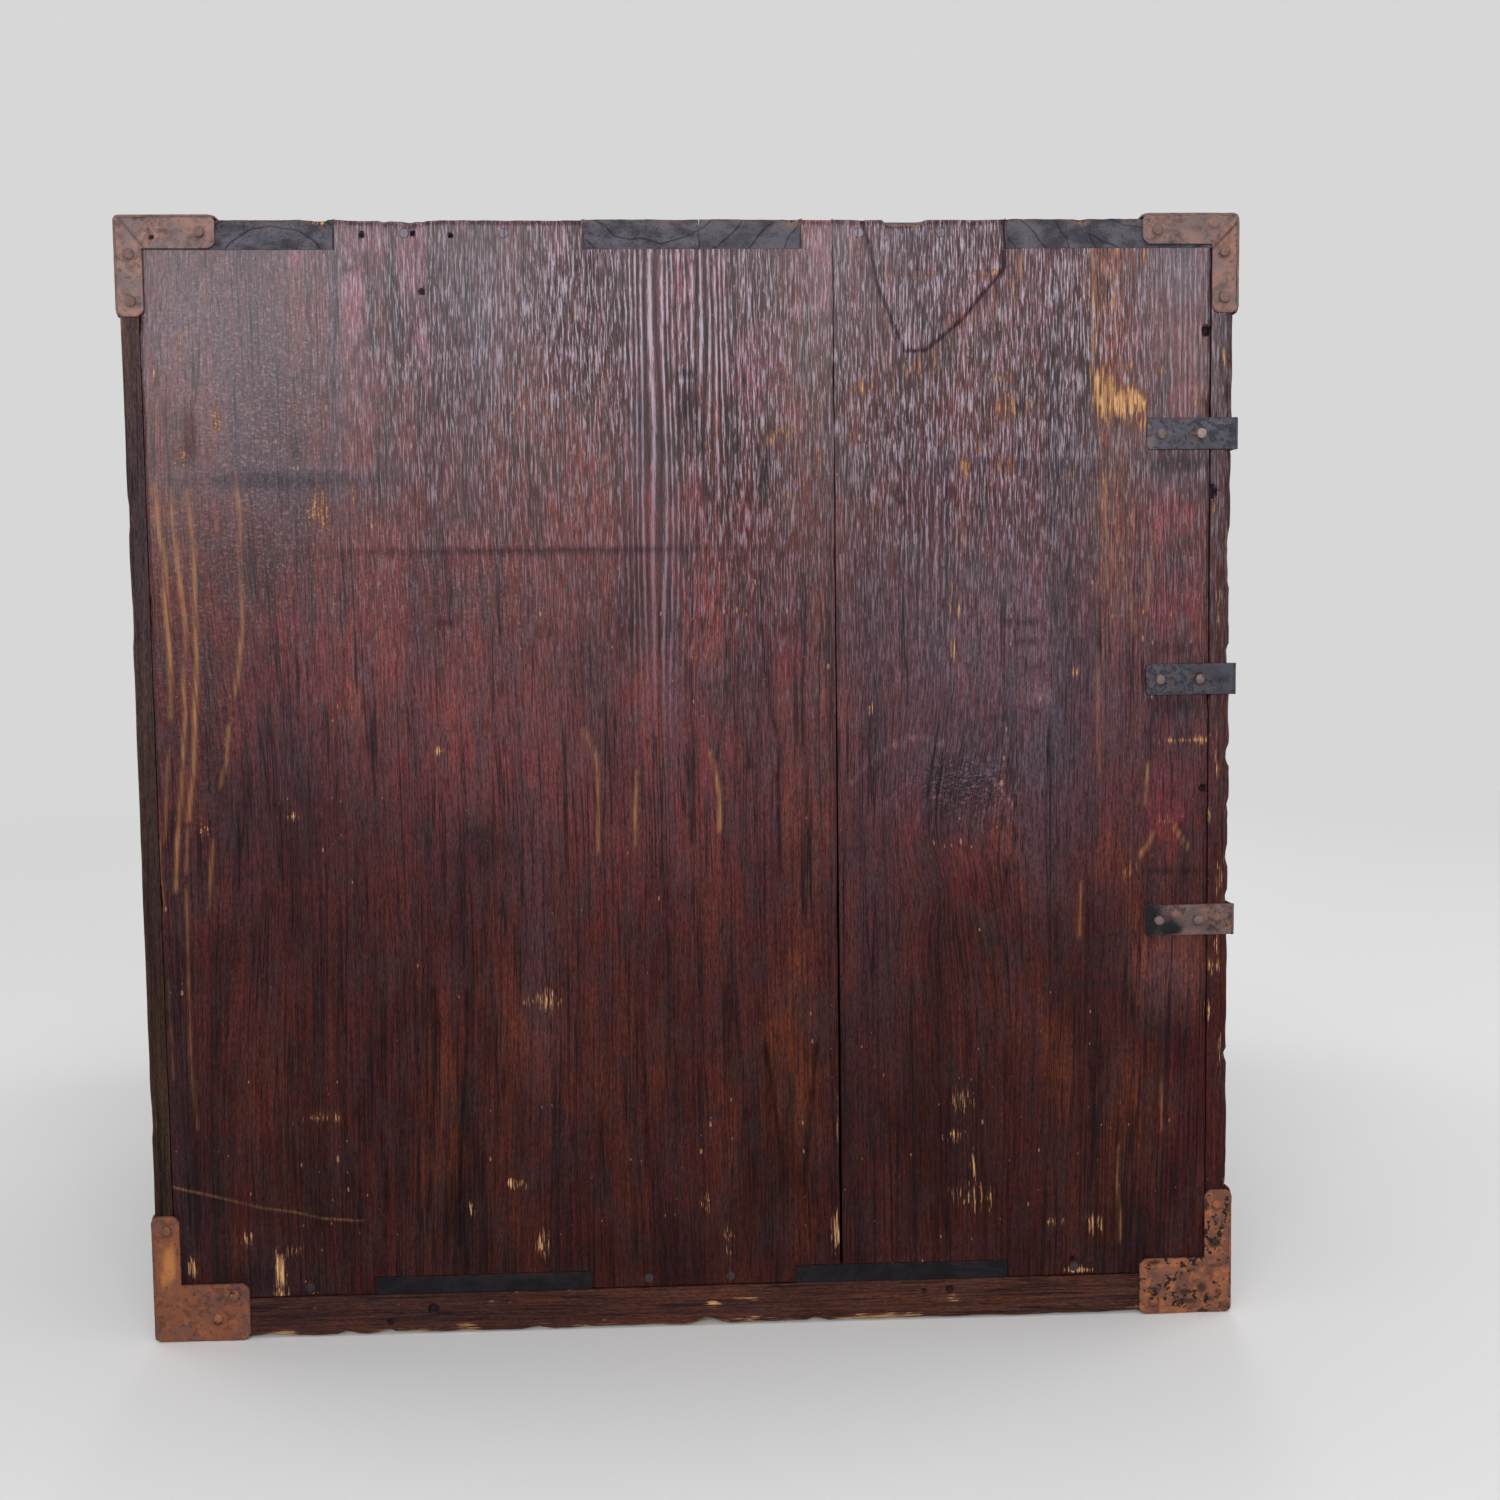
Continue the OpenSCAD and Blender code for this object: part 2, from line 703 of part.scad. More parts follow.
handle_mounts(3);  // bottom_drawer_handle_mounts
bail(3);  // bottom_drawer_bail
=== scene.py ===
import math
import bpy
import numpy as np
from mathutils import Matrix, Vector


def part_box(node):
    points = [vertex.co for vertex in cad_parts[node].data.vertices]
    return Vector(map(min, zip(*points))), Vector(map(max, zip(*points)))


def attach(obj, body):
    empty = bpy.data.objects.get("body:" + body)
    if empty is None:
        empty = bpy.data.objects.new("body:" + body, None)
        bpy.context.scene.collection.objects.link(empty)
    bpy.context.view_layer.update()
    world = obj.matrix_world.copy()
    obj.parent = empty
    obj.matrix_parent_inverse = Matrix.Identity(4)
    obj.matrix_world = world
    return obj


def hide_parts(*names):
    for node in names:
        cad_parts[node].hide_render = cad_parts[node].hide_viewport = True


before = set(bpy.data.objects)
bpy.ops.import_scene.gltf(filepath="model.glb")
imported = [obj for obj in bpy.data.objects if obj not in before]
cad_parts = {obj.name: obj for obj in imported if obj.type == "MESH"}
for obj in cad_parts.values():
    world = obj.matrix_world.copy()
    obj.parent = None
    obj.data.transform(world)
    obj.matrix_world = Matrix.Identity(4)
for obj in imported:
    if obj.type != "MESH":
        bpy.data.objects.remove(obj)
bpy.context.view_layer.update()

# A small chest of drawers with iron corners, looked at from its left side. Meshes are worked out in
# millimetres and made in metres. On the sides, u runs from the rear edge and v up from the floor.
mmPerM = 1000


def boxMm(node):
    low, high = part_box(node)
    return np.array(low) * mmPerM, np.array(high) * mmPerM


halfW = boxMm("top_front_plank")[1][0]
frontY = boxMm("top_front_plank")[0][1]
caseTop = boxMm("top_front_plank")[1][2]
topZ = boxMm("top_front_plank")[0][2]
backY = boxMm("back_boards")[1][1]
caseDepth = backY - frontY
plankT = caseTop - topZ
railTop = boxMm("left_base_rail")[1][2]
floorZ = boxMm("bottom_board")[1][2]
sideJoint = backY - boxMm("left_side_rear_plank")[0][1]
ironT = -halfW - boxMm("left_straps")[0][0]
topMarks = np.array([0, 0.19, 0.41, 0.605, 0.79, 1]) * caseDepth  # finger joints, measured from the rear
footMarks = np.array([0, 0.2, 0.4, 0.59, 0.79, 1]) * caseDepth
railNames = ("upper", "middle", "lower")
drawerNames = ("top", "upper", "lower", "bottom")

# Faces to build on: a point, then the directions across the grain, along the grain and into the wood.
faces = {
    "left": ((-halfW, backY, 0), (0, -1, 0), (0, 0, 1), (1, 0, 0)),
    "right": ((halfW, backY, 0), (0, -1, 0), (0, 0, 1), (-1, 0, 0)),
    "top": ((0, backY, caseTop), (0, -1, 0), (1, 0, 0), (0, 0, -1)),
    "bottom": ((0, backY, floorZ), (0, -1, 0), (1, 0, 0), (0, 0, -1)),
    "front": ((0, frontY, 0), (0, 0, 1), (1, 0, 0), (0, 1, 0)),
    "back": ((0, backY, 0), (1, 0, 0), (0, 0, 1), (0, -1, 0)),
    "rearEdge": ((0, backY, 0), (0, 0, 1), (1, 0, 0), (0, -1, 0)),
    "leftEdge": ((-halfW, backY, 0), (0, 0, 1), (0, -1, 0), (1, 0, 0)),
    "rightEdge": ((halfW, backY, 0), (0, 0, 1), (0, -1, 0), (-1, 0, 0)),
}


def span(node, face):
    # The lowest and highest place of a node across, along and into a face.
    origin, across, along, inward = (np.array(v, float) for v in faces[face])
    low, high = boxMm(node)
    ends = np.array([[np.dot(p - origin, d) for d in (across, along, inward)] for p in (low, high)])
    return ends.min(0), ends.max(0)


def onFace(face, points, quads, rounds):
    # Points given across, along and into a face as places, with the faces turned outwards.
    places, *directions = (np.array(v, float) for v in faces[face])
    for distance, direction in zip(points, directions):
        places = places + distance[:, None] * direction
    if np.dot(np.cross(directions[0], directions[1]), directions[2]) > 0:
        quads, rounds = quads[:, ::-1], [r[::-1] for r in rounds]
    return places, quads, rounds


# Noise

def easeBetween(low, high, x):
    t = np.clip((x - low) / (high - low), 0, 1)
    return t * t * (3 - 2 * t)


noiseTables = {}


def smoothNoise(x, y, seed):
    if seed not in noiseTables:
        noiseTables[seed] = np.random.default_rng(seed).random((256, 256))
    table = noiseTables[seed]
    xi = np.floor(x).astype(int)
    yi = np.floor(y).astype(int)
    fx = easeBetween(0, 1, x - xi)
    fy = easeBetween(0, 1, y - yi)
    x0, x1, y0, y1 = xi % 256, (xi + 1) % 256, yi % 256, (yi + 1) % 256
    low = table[x0, y0] * (1 - fx) + table[x1, y0] * fx
    high = table[x0, y1] * (1 - fx) + table[x1, y1] * fx
    return low * (1 - fy) + high * fy


def layeredNoise(x, y, seed, layers=3):
    parts = [smoothNoise(x * 2**i, y * 2**i, seed + i) / 2**i for i in range(layers)]
    return sum(parts) / sum(1 / 2**i for i in range(layers))


def spotMask(a, b, spots, grain, seed, ragged=0.5):
    # Soft patches. A spot is (across, along, half width, half height, strength) and may end with a turn
    # in degrees.
    mask = np.zeros_like(a)
    for i, (ca, cb, ha, hb, strength, *turn) in enumerate(spots):
        near = (np.abs(a - ca) < 2.2 * (ha + hb)) & (np.abs(b - cb) < 2.2 * (ha + hb))
        if not near.any():
            continue
        da, db = a[near] - ca, b[near] - cb
        angle = math.radians(turn[0] if turn else 0)
        c, s = math.cos(angle), math.sin(angle)
        r = np.hypot((da * c + db * s) / ha, (db * c - da * s) / hb)
        torn = layeredNoise(grain[near] / 2.5, b[near] / 7, seed + 7 * i, 2)
        r = r * (1 + ragged * 1.4 * (torn - 0.5))
        mask[near] = np.maximum(mask[near], strength * (1 - easeBetween(0.35, 1.3, r)))
    return mask


def lineMask(a, b, lines, seed):
    # Thin broken lines: each is (points, width, strength).
    mask = np.zeros_like(a)
    for points, width, strength in lines:
        for (a0, b0), (a1, b1) in zip(points, points[1:]):
            length = math.hypot(a1 - a0, b1 - b0)
            share = np.clip(((a - a0) * (a1 - a0) + (b - b0) * (b1 - b0)) / length**2, 0, 1)
            away = np.hypot(a - a0 - share * (a1 - a0), b - b0 - share * (b1 - b0))
            torn = 0.45 + 0.9 * smoothNoise(share * length / 5, share * 0 + a0, seed)
            mask = np.maximum(mask, strength * torn * np.exp(-((away / width) ** 2)))
    return np.clip(mask, 0, 1)


def glow(a, b, spots):
    # Broad soft patches that add up: each is (across, along, reach, reach, amount).
    total = np.zeros_like(a)
    for ca, cb, ha, hb, amount in spots:
        total = total + amount * np.exp(-((a - ca) / ha) ** 2 - ((b - cb) / hb) ** 2)
    return total


# Boards. A board is a fine grid over its outer face, walls round it and one flat face behind.

def gridLines(low, high, step, marks=(), fine=()):
    # Places from low to high, about a step apart, through every mark, closer at the ends and where fine.
    keep = sorted({low, high, *[m for m in marks if low + 0.5 < m < high - 0.5]})
    rows = []
    for start, end in zip(keep, keep[1:]):
        count = max(1, round((end - start) / step))
        rows += list(np.linspace(start, end, count + 1)[1:-1])
    rows += [low + e for e in (0.4, 1.0, 1.9, 3.2)] + [high - e for e in (0.4, 1.0, 1.9, 3.2)]
    for centre, reach in fine:
        rows += list(np.arange(centre - reach, centre + reach + 0.01, 0.55))
    least = min(0.3, step / 3)
    out = []
    for row in sorted(r for r in rows if low < r < high):
        if all(abs(row - k) > least for k in keep) and (not out or row - out[-1] > least):
            out.append(row)
    return np.array(sorted(out + keep))


plainBoard = {
    "seed": 1, "swirls": (), "warp": 3, "ridge": 0.16, "streak": 0.1, "rough": 0.6, "zones": (),
    "pebble": (), "slate": (), "stripes": (), "shades": (), "shine": (), "bare": (), "stain": (),
    "warm": (), "crimson": (), "pink": (), "holes": (), "steps": (), "flakes": (), "threads": (),
    "scratches": (), "seams": (), "rims": (), "bright": ((0, 1.0), (1, 1.0)), "walls": 1.0, "fine": (),
    "polish": 0.5, "warmth": 0.3, "wear": 0.0, "bareEdge": 0.8, "bareGain": 1.0, "sheet": False,
    "tone": 1.0, "rust": 0.0,
}


# What is added to the seed for each kind of patch, and how ragged its edge is.
patches = {"bare": (51, 0.5), "stain": (151, 0.3), "warm": (251, 0.5), "pink": (351, 0.6),
           "crimson": (451, 0.5)}


def boardSurface(look, a, b):
    # Depth into the wood, the grain's own coordinate, and the marks that the finishes read.
    seed = look["seed"]
    if look["sheet"]:
        return sheetSurface(look, a, b)
    grain = a + look["warp"] * (layeredNoise(a / 55, b / 190, seed, 2) - 0.5)
    for ca, cb, ha, hb, shift in look["swirls"]:
        grain = grain + shift * np.exp(-((a - ca) / ha) ** 2 - ((b - cb) / hb) ** 2)
    s = {"grain": grain, "along": b + 1371.0 * seed}
    rough = look["rough"] + glow(a, b, look["zones"])
    s["relief"] = np.clip(rough * (0.7 + 0.6 * layeredNoise(grain / 30, b / 70, seed + 11, 2)), 0, 1)
    ridges = easeBetween(0.25, 0.75, layeredNoise(grain / 3.1, b / 120, seed + 21, 2))
    streaks = easeBetween(0.2, 0.8, smoothNoise(grain / 1.9, b / 11, seed + 31))
    depth = 0.06 + s["relief"] * (look["ridge"] * (1 - ridges) + look["streak"] * (1 - streaks))
    depth = depth + 0.25 * (1 - layeredNoise(a / 38, b / 60, seed + 41, 2)) * look["wear"]
    for key, (offset, ragged) in patches.items():
        s[key] = spotMask(a, b, look[key], grain, seed + offset, ragged)
    warm = look["warmth"] * easeBetween(0.3, 0.75, layeredNoise(grain / 14, b / 230, seed + 61, 2))
    s["bare"] = np.clip(look["bareGain"] * s["bare"], 0, 1)
    s["warm"] = np.clip(warm + s["warm"], 0, 1)
    s["thread"] = lineMask(a, b, look["threads"], seed + 171)
    s["stain"] = np.maximum(s["stain"], lineMask(a, b, look["scratches"], seed + 181))
    for key in ("pebble", "slate", "stripes"):
        s[key] = np.clip(glow(a, b, look[key]), 0, 1)
    seams, rims = lineMask(a, b, look["seams"], seed + 191), lineMask(a, b, look["rims"], seed + 201)
    # A bright table by height scales the colour; on the sides and the back it is painted sheen, lighter
    # towards the top.
    heights, factors = zip(*look["bright"])
    bright = np.interp(b, heights, factors) * (1 + glow(a, b, look["shades"]))
    s["bright"] = np.clip(bright, 0.15, 4) * (1 - 0.88 * seams) * (1 + 1.7 * rims)
    s["slate"] = np.maximum(s["slate"], rims)
    depth = depth + 0.18 * s["bare"] + 0.15 * seams
    # Each hole is sunk into the wood and darkened by its depth as painted shade.
    for ca, cb, radius, deep in look["holes"]:
        pit = 1 - easeBetween(0.62, 1.08, np.hypot(a - ca, b - cb) / radius)
        depth = depth + deep * pit
        s["stain"] = np.maximum(s["stain"], pit * min(1, deep))
    for outline, deep, reach in look["flakes"]:
        away = -insideBy(outline, a, b)
        near = np.exp(-np.clip(away, 0, None) / reach)
        depth = depth + deep * easeBetween(-0.5, 0.5, away) * near
        # The dark line just outside a flake's edge, where the wood steps down, is painted shadow.
        s["stain"] = np.maximum(s["stain"], 0.85 * np.exp(-((away - 0.5) / 0.7) ** 2))
        s["bare"] = np.maximum(s["bare"], 0.42 * easeBetween(0.2, 2, away) * near * (a > outline[0][0] + 4))
    s["depth"] = depth
    s["polish"] = np.clip(polishOf(look, b) + glow(a, b, look["shine"]), 0, 1)
    return s


def sheetSurface(look, a, b):
    # The same marks for sheet iron: hammered, pitted, and thinner where a lower layer shows.
    seed = look["seed"]
    hammer = layeredNoise(a / 9, b / 9, seed, 2)
    pitted = easeBetween(0.62, 0.78, layeredNoise(a / 2.6, b / 2.6, seed + 11, 3))
    depth = 0.04 + 0.22 * hammer + 0.16 * pitted * look["rough"]
    none = np.zeros_like(a)
    unused = ("pink", "pebble", "slate", "stripes", "polish", "thread", "crimson")
    s = {**dict.fromkeys(unused, none), "grain": a, "along": b + 371.0 * seed, "relief": 1 - hammer,
         "bright": none + look["tone"],
         "warm": np.clip(none + look["rust"] + glow(a, b, look["warm"]), -1, 1)}
    s["stain"] = np.maximum(0.8 * pitted * look["rough"], spotMask(a, b, look["stain"], a, seed + 151, 0.3))
    for outline, deep in look["steps"]:
        inside = insideBy(outline, a, b)
        depth = depth + deep * easeBetween(-0.4, 0.4, inside)
        # The dark line along the step's edge is painted shadow.
        s["stain"] = np.maximum(s["stain"], 0.8 * np.exp(-((inside - 0.3) / 0.5) ** 2))
    s["bare"] = spotMask(a, b, look["bare"], a, seed + 51, 0.5)
    s["depth"] = depth
    return s


def insideBy(outline, a, b):
    # How many millimetres inside a convex outline each point lies; less than 0 outside it.
    inside = np.full_like(a, 1e6)
    for (a0, b0), (a1, b1) in zip(outline, outline[1:] + outline[:1]):
        away = ((a1 - a0) * (b - b0) - (b1 - b0) * (a - a0)) / math.hypot(a1 - a0, b1 - b0)
        inside = np.minimum(inside, away)
    return inside


marksRead = {"read": ("grain", "along", "depth"), "marks": ("bare", "stain", "relief"),
             "tones": ("polish", "warm", "pink"), "zones": ("slate", "stripes", "pebble"),
             "drawn": ("thread", "bright", "crimson")}


def cutCorner(a, b, corner):
    # Presses the square at a corner flat along its diagonal. A corner is (across, along, side, side, length).
    ca, cb, sa, sb, length = corner
    x = (a - (ca - sa * length)) * sa / length
    y = (b - (cb - sb * length)) * sb / length
    inside = (x > 0) & (y > 0)
    x, y = np.clip(x, 0, 1), np.clip(y, 0, 1)
    newA = ca - sa * length + sa * length * x * (1 - 0.46 * y)
    newB = cb - sb * length + sb * length * y * (1 - 0.46 * x)
    return np.where(inside, newA, a), np.where(inside, newB, b)


sides = ("aLow", "aHigh", "bLow", "bHigh")  # of a board: a runs across the grain, b along it
tightEdge = {"gap": 0.1, "round": 0.25, "chips": 0.0}
wornEdge = {"gap": 0.2, "round": 1.1, "chips": 0.35}


def edgeChips(edge, s, seed):
    # Roundness and chips along an edge, each from 0 to 1.
    soft = layeredNoise(s / 17, s * 0 + 0.5, seed, 3)
    chips = easeBetween(0.6, 0.78, layeredNoise(s / 13, s * 0 + 3.5, seed + 5, 3)) * edge["chips"]
    return soft, chips


def edgeInset(edge, s, share, seed, low, high):
    gap = edge["gap"]
    if isinstance(gap, tuple):
        gap = gap[0] + (gap[1] - gap[0]) * (s - low) / (high - low)
    soft, chips = edgeChips(edge, s, seed)
    upper = np.clip(1 - share / 0.45, 0, 1)
    return gap + edge["round"] * (0.2 + 0.9 * soft) * upper**2 + 1.9 * chips * upper


# How far in from an edge, in mm, the wood is drawn in, chipped and bare, and how deep a chip goes.
wear = {"drawIn": 6, "chipReach": 4.5, "bareReach": 4, "chipDepth": 1.7}


def fadeOut(distance, reach):
    return np.clip(1 - distance / reach, 0, 1)


def board(face, node, look, edges=None, step=(0.9, 3.2), notches=(), corners=(), rows=6, box=None,
          reshape=None):
    # One board as arrays: places in mm, faces, slots, and what the finishes read at each vertex.
    low, high = box if box else span(node, face)
    (a0, b0, c0), (a1, b1, c1) = low, high
    look = {**plainBoard, **look}
    edges = {**dict.fromkeys(sides, tightEdge), **(edges or {})}
    seed = look["seed"]
    marksA = [n[i] for n in notches for i in (0, 1)]
    marksB = [n[i] for n in notches for i in (2, 3)]
    holes = [h for h in look["holes"] if a0 < h[0] < a1 and b0 < h[1] < b1]
    fineB = [(h[1], h[2] + 0.6) for h in holes] + list(look["fine"])
    for outline, *_ in look["flakes"]:
        heights = [p[1] for p in outline]
        fineB.append(((max(heights) + min(heights)) / 2, (max(heights) - min(heights)) / 2 + 3))
    linesA = gridLines(a0, a1, step[0], marksA, [(h[0], h[2] + 0.6) for h in holes if step[0] > 0.6])
    linesB = gridLines(b0, b1, step[1], marksB, fineB)
    a, b = np.meshgrid(linesA, linesB, indexing="ij")
    midA, midB = (a[1:, 1:] + a[:-1, :-1]) / 2, (b[1:, 1:] + b[:-1, :-1]) / 2
    solid = np.ones(midA.shape, bool)
    for n in notches:
        solid &= ~((midA > n[0]) & (midA < n[1]) & (midB > n[2]) & (midB < n[3]))
    used = np.zeros(a.shape, bool)
    for i in (0, 1):
        for j in (0, 1):
            used[i:a.shape[0] - 1 + i, j:a.shape[1] - 1 + j] |= solid
    index = np.full(a.shape, -1)
    index[used] = np.arange(used.sum())
    surface = boardSurface(look, a, b)
    depth, bare = surface["depth"], surface["bare"]

    # Worn edges: the wood is rounded and chipped near each edge, and drawn in at it.
    shiftA, shiftB = np.zeros_like(a), np.zeros_like(b)
    edgeSeeds = {key: seed + 900 + 10 * i for i, key in enumerate(sides)}
    edgeEnds = {key: (b0, b1) if key[0] == "a" else (a0, a1) for key in sides}
    for key, s, d, sign, field in (("aLow", b, a - a0, 1, shiftA), ("aHigh", b, a1 - a, -1, shiftA),
                                   ("bLow", a, b - b0, 1, shiftB), ("bHigh", a, b1 - b, -1, shiftB)):
        edge, edgeSeed, ends = edges[key], edgeSeeds[key], edgeEnds[key]
        soft, chips = edgeChips(edge, s, edgeSeed)
        field += sign * edgeInset(edge, s, 0, edgeSeed, *ends) * fadeOut(d, wear["drawIn"]) ** 2
        width = 0.4 + 2.6 * edge["round"]
        depth = depth + edge["round"] * (0.15 + 0.8 * soft) * fadeOut(d, width) ** 2
        depth = depth + wear["chipDepth"] * chips * fadeOut(d, wear["chipReach"]) ** 1.5
        worn = edge["round"] * soft * fadeOut(d, 0.8 * width)
        rubbed = np.clip(chips * fadeOut(d, wear["bareReach"]) * 1.6 + 0.35 * worn, 0, 1)
        bare = np.maximum(bare, look["bareEdge"] * rubbed)
    depth = np.minimum(depth, 0.85 * (c1 - c0))
    surface["depth"], surface["bare"] = depth, bare

    # The outline, walked once round, with the inward direction at each of its points.
    follows, inward = {}, {}
    def side(p, q, normal):
        follows[p] = q
        for point in (p, q):
            inward.setdefault(point, set()).add(normal)
    padded = np.pad(solid, 1)
    for i, j in np.argwhere(solid):
        if not padded[i + 1, j]:
            side((i, j), (i + 1, j), (0, 1))
        if not padded[i + 2, j + 1]:
            side((i + 1, j), (i + 1, j + 1), (-1, 0))
        if not padded[i + 1, j + 2]:
            side((i + 1, j + 1), (i, j + 1), (0, -1))
        if not padded[i, j + 1]:
            side((i, j + 1), (i, j), (1, 0))
    start = next(iter(follows))
    loop = [start]
    while follows[loop[-1]] != start:
        loop.append(follows[loop[-1]])
    li, lj = np.array(loop).T
    la, lb = a[li, lj], b[li, lj]
    pull = np.array([[sum(n[0] for n in inward[p]), sum(n[1] for n in inward[p])] for p in loop], float)
    pull = np.clip(pull, -1, 1)
    onEdge = {"aLow": (la == a0), "aHigh": (la == a1), "bLow": (lb == b0), "bHigh": (lb == b1)}

    def loopShift(share):
        move = pull * tightEdge["gap"]
        for key, column, sign, s in (("aLow", 0, 1, lb), ("aHigh", 0, -1, lb),
                                     ("bLow", 1, 1, la), ("bHigh", 1, -1, la)):
            inset = sign * edgeInset(edges[key], s, share, edgeSeeds[key], *edgeEnds[key])
            move[:, column] = np.where(onEdge[key] & (pull[:, column] != 0), inset, move[:, column])
        return move

    first = loopShift(0)
    shiftA[li, lj], shiftB[li, lj] = first[:, 0], first[:, 1]
    placeA, placeB = [(a + shiftA)[used]], [(b + shiftB)[used]]
    placeC = [(c0 + depth)[used]]
    read = {key: [surface[key][used]] for keys in marksRead.values() for key in keys}
    count = int(used.sum())
    shares = np.linspace(0, 1, rows + 1)[1:] ** 1.25
    loopIndex = [index[li, lj]]
    ring = {key: surface[key][li, lj] for key in read}
    depthLoop = ring["depth"]
    for share in shares:
        move = loopShift(share)
        c = depthLoop + (c1 - c0 - depthLoop) * share
        rub = 0.12 * (layeredNoise((la + lb) / 2.2, c / 2.2, seed + 71, 2) - 0.3) * (share < 1)
        placeA.append(la + move[:, 0] + pull[:, 0] * rub)
        placeB.append(lb + move[:, 1] + pull[:, 1] * rub)
        placeC.append(c0 + c)
        fade = max(0.0, 1 - 2.5 * share)
        below = {**ring, "grain": ring["grain"] + np.abs(pull[:, 0]) * c, "depth": c,
                 "bright": ring["bright"] * look["walls"],
                 "bare": ring["bare"] * fade, "stain": ring["stain"] * fade}
        for key in read:
            read[key].append(below[key])
        loopIndex.append(count + np.arange(len(la)))
        count += len(la)
    placeA, placeB, placeC = (np.concatenate(p) for p in (placeA, placeB, placeC))
    for corner in corners:
        placeA, placeB = cutCorner(placeA, placeB, corner)
    if reshape:
        placeA, placeB = reshape(placeA, placeB)
    si, sj = np.nonzero(solid)
    quads = np.stack([index[si, sj], index[si + 1, sj], index[si + 1, sj + 1], index[si, sj + 1]], -1)
    slots = [np.zeros(len(quads), int)]
    step1 = np.roll(np.arange(len(loop)), -1)
    endGrain = (np.abs(lb - lb[step1]) < 1e-6).astype(int)
    walls = []
    for upper, lower in zip(loopIndex, loopIndex[1:]):
        walls.append(np.stack([lower, lower[step1], upper[step1], upper], -1))
        slots.append(endGrain)
    quads = np.concatenate([quads, *walls])
    places, quads, rounds = onFace(face, (placeA, placeB, placeC), quads, [loopIndex[-1][::-1]])
    part = {"places": places, "quads": quads, "rounds": rounds, "slots": np.concatenate(slots + [[0]])}
    for name, keys in marksRead.items():
        part[name] = np.stack([np.concatenate(read[key]) for key in keys], -1)
    return part


def polishOf(look, along):
    # The polish, which may rise with height: a number, or (height, height, low, high).
    polish = look["polish"]
    if isinstance(polish, tuple):
        return polish[2] + (polish[3] - polish[2]) * easeBetween(polish[0], polish[1], along)
    return polish * np.ones_like(along)


def makePiece(name, parts, finishes, body, replaced, sharp=42):
    # Joins parts into one object, in metres, on a CAD body.
    offset, corners, starts, slots = 0, [], [], []
    total = 0
    for part in parts:
        quads, rounds = part["quads"] + offset, [r + offset for r in part["rounds"]]
        corners.append(quads.ravel())
        starts.append(total + 4 * np.arange(len(quads)))
        total += quads.size
        for r in rounds:
            corners.append(r)
            starts.append(np.array([total]))
            total += len(r)
        slots.append(part["slots"])
        offset += len(part["places"])
    corners, starts, slots = (np.concatenate(x) for x in (corners, starts, slots))
    mesh = bpy.data.meshes.new(name)
    mesh.vertices.add(offset)
    mesh.vertices.foreach_set("co", np.concatenate([p["places"] for p in parts]).ravel() / mmPerM)
    mesh.loops.add(len(corners))
    mesh.loops.foreach_set("vertex_index", corners)
    mesh.polygons.add(len(starts))
    mesh.polygons.foreach_set("loop_start", starts)
    mesh.polygons.foreach_set("material_index", np.minimum(slots, len(finishes) - 1))
    mesh.update(calc_edges=True)
    mesh.validate()
    mesh.polygons.foreach_set("use_smooth", np.ones(len(mesh.polygons), bool))
    for key in marksRead:
        values = np.concatenate([p[key] for p in parts]).astype(np.float32)
        mesh.attributes.new(key, "FLOAT_VECTOR", "POINT").data.foreach_set("vector", values.ravel())
    mesh.set_sharp_from_angle(angle=math.radians(sharp))
    for finish in finishes:
        mesh.materials.append(finish)
    piece = bpy.data.objects.new(name, mesh)
    bpy.context.scene.collection.objects.link(piece)
    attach(piece, body)
    if replaced:
        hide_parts(*replaced)
    return piece


# Finishes. Shared effects are node groups, which read places in mm from the boards' own marks.

def feed(tree, socket, value):
    if isinstance(value, bpy.types.NodeSocket):
        tree.links.new(value, socket)
    else:
        socket.default_value = value


def calc(tree, operation, *values, clamp=False):
    node = tree.nodes.new("ShaderNodeMath")
    node.operation, node.use_clamp = operation, clamp
    for socket, value in zip(node.inputs, values):
        feed(tree, socket, value)
    return node.outputs[0]


def times(tree, *values):
    total = values[0]
    for value in values[1:]:
        total = calc(tree, "MULTIPLY", total, value)
    return total


def mixColours(tree, share, low, high):
    node = tree.nodes.new("ShaderNodeMix")
    node.data_type = "RGBA"
    for socket, value in zip((node.inputs[0], node.inputs[6], node.inputs[7]), (share, low, high)):
        feed(tree, socket, (*value, 1) if isinstance(value, tuple) and len(value) == 3 else value)
    return node.outputs[2]


def rise(tree, value, low, high, to0=0.0, to1=1.0):
    node = tree.nodes.new("ShaderNodeMapRange")
    node.interpolation_type = "SMOOTHSTEP"
    for socket, v in zip(node.inputs, (value, low, high, to0, to1)):
        feed(tree, socket, v)
    return node.outputs[0]


def mixValues(tree, share, low, high):
    node = tree.nodes.new("ShaderNodeMix")
    for i, value in ((0, share), (2, low), (3, high)):
        feed(tree, node.inputs[i], value)
    return node.outputs[0]


def stretched(tree, place, x, y, z):
    node = tree.nodes.new("ShaderNodeVectorMath")
    node.operation = "MULTIPLY"
    feed(tree, node.inputs[0], place)
    node.inputs[1].default_value = (x, y, z)
    return node.outputs[0]


def scaled(tree, colour, factor):
    node = tree.nodes.new("ShaderNodeVectorMath")
    node.operation = "SCALE"
    feed(tree, node.inputs[0], colour)
    feed(tree, node.inputs["Scale"], factor)
    return node.outputs[0]


def noiseOf(tree, place, x, y, z, detail=2.0, roughness=0.5, distortion=0.0):
    node = tree.nodes.new("ShaderNodeTexNoise")
    feed(tree, node.inputs["Vector"], stretched(tree, place, x, y, z))
    node.inputs["Scale"].default_value = 1
    node.inputs["Detail"].default_value = detail
    node.inputs["Roughness"].default_value = roughness
    node.inputs["Distortion"].default_value = distortion
    return node.outputs["Fac"]


def splitUp(tree, vector):
    node = tree.nodes.new("ShaderNodeSeparateXYZ")
    feed(tree, node.inputs[0], vector)
    return node.outputs


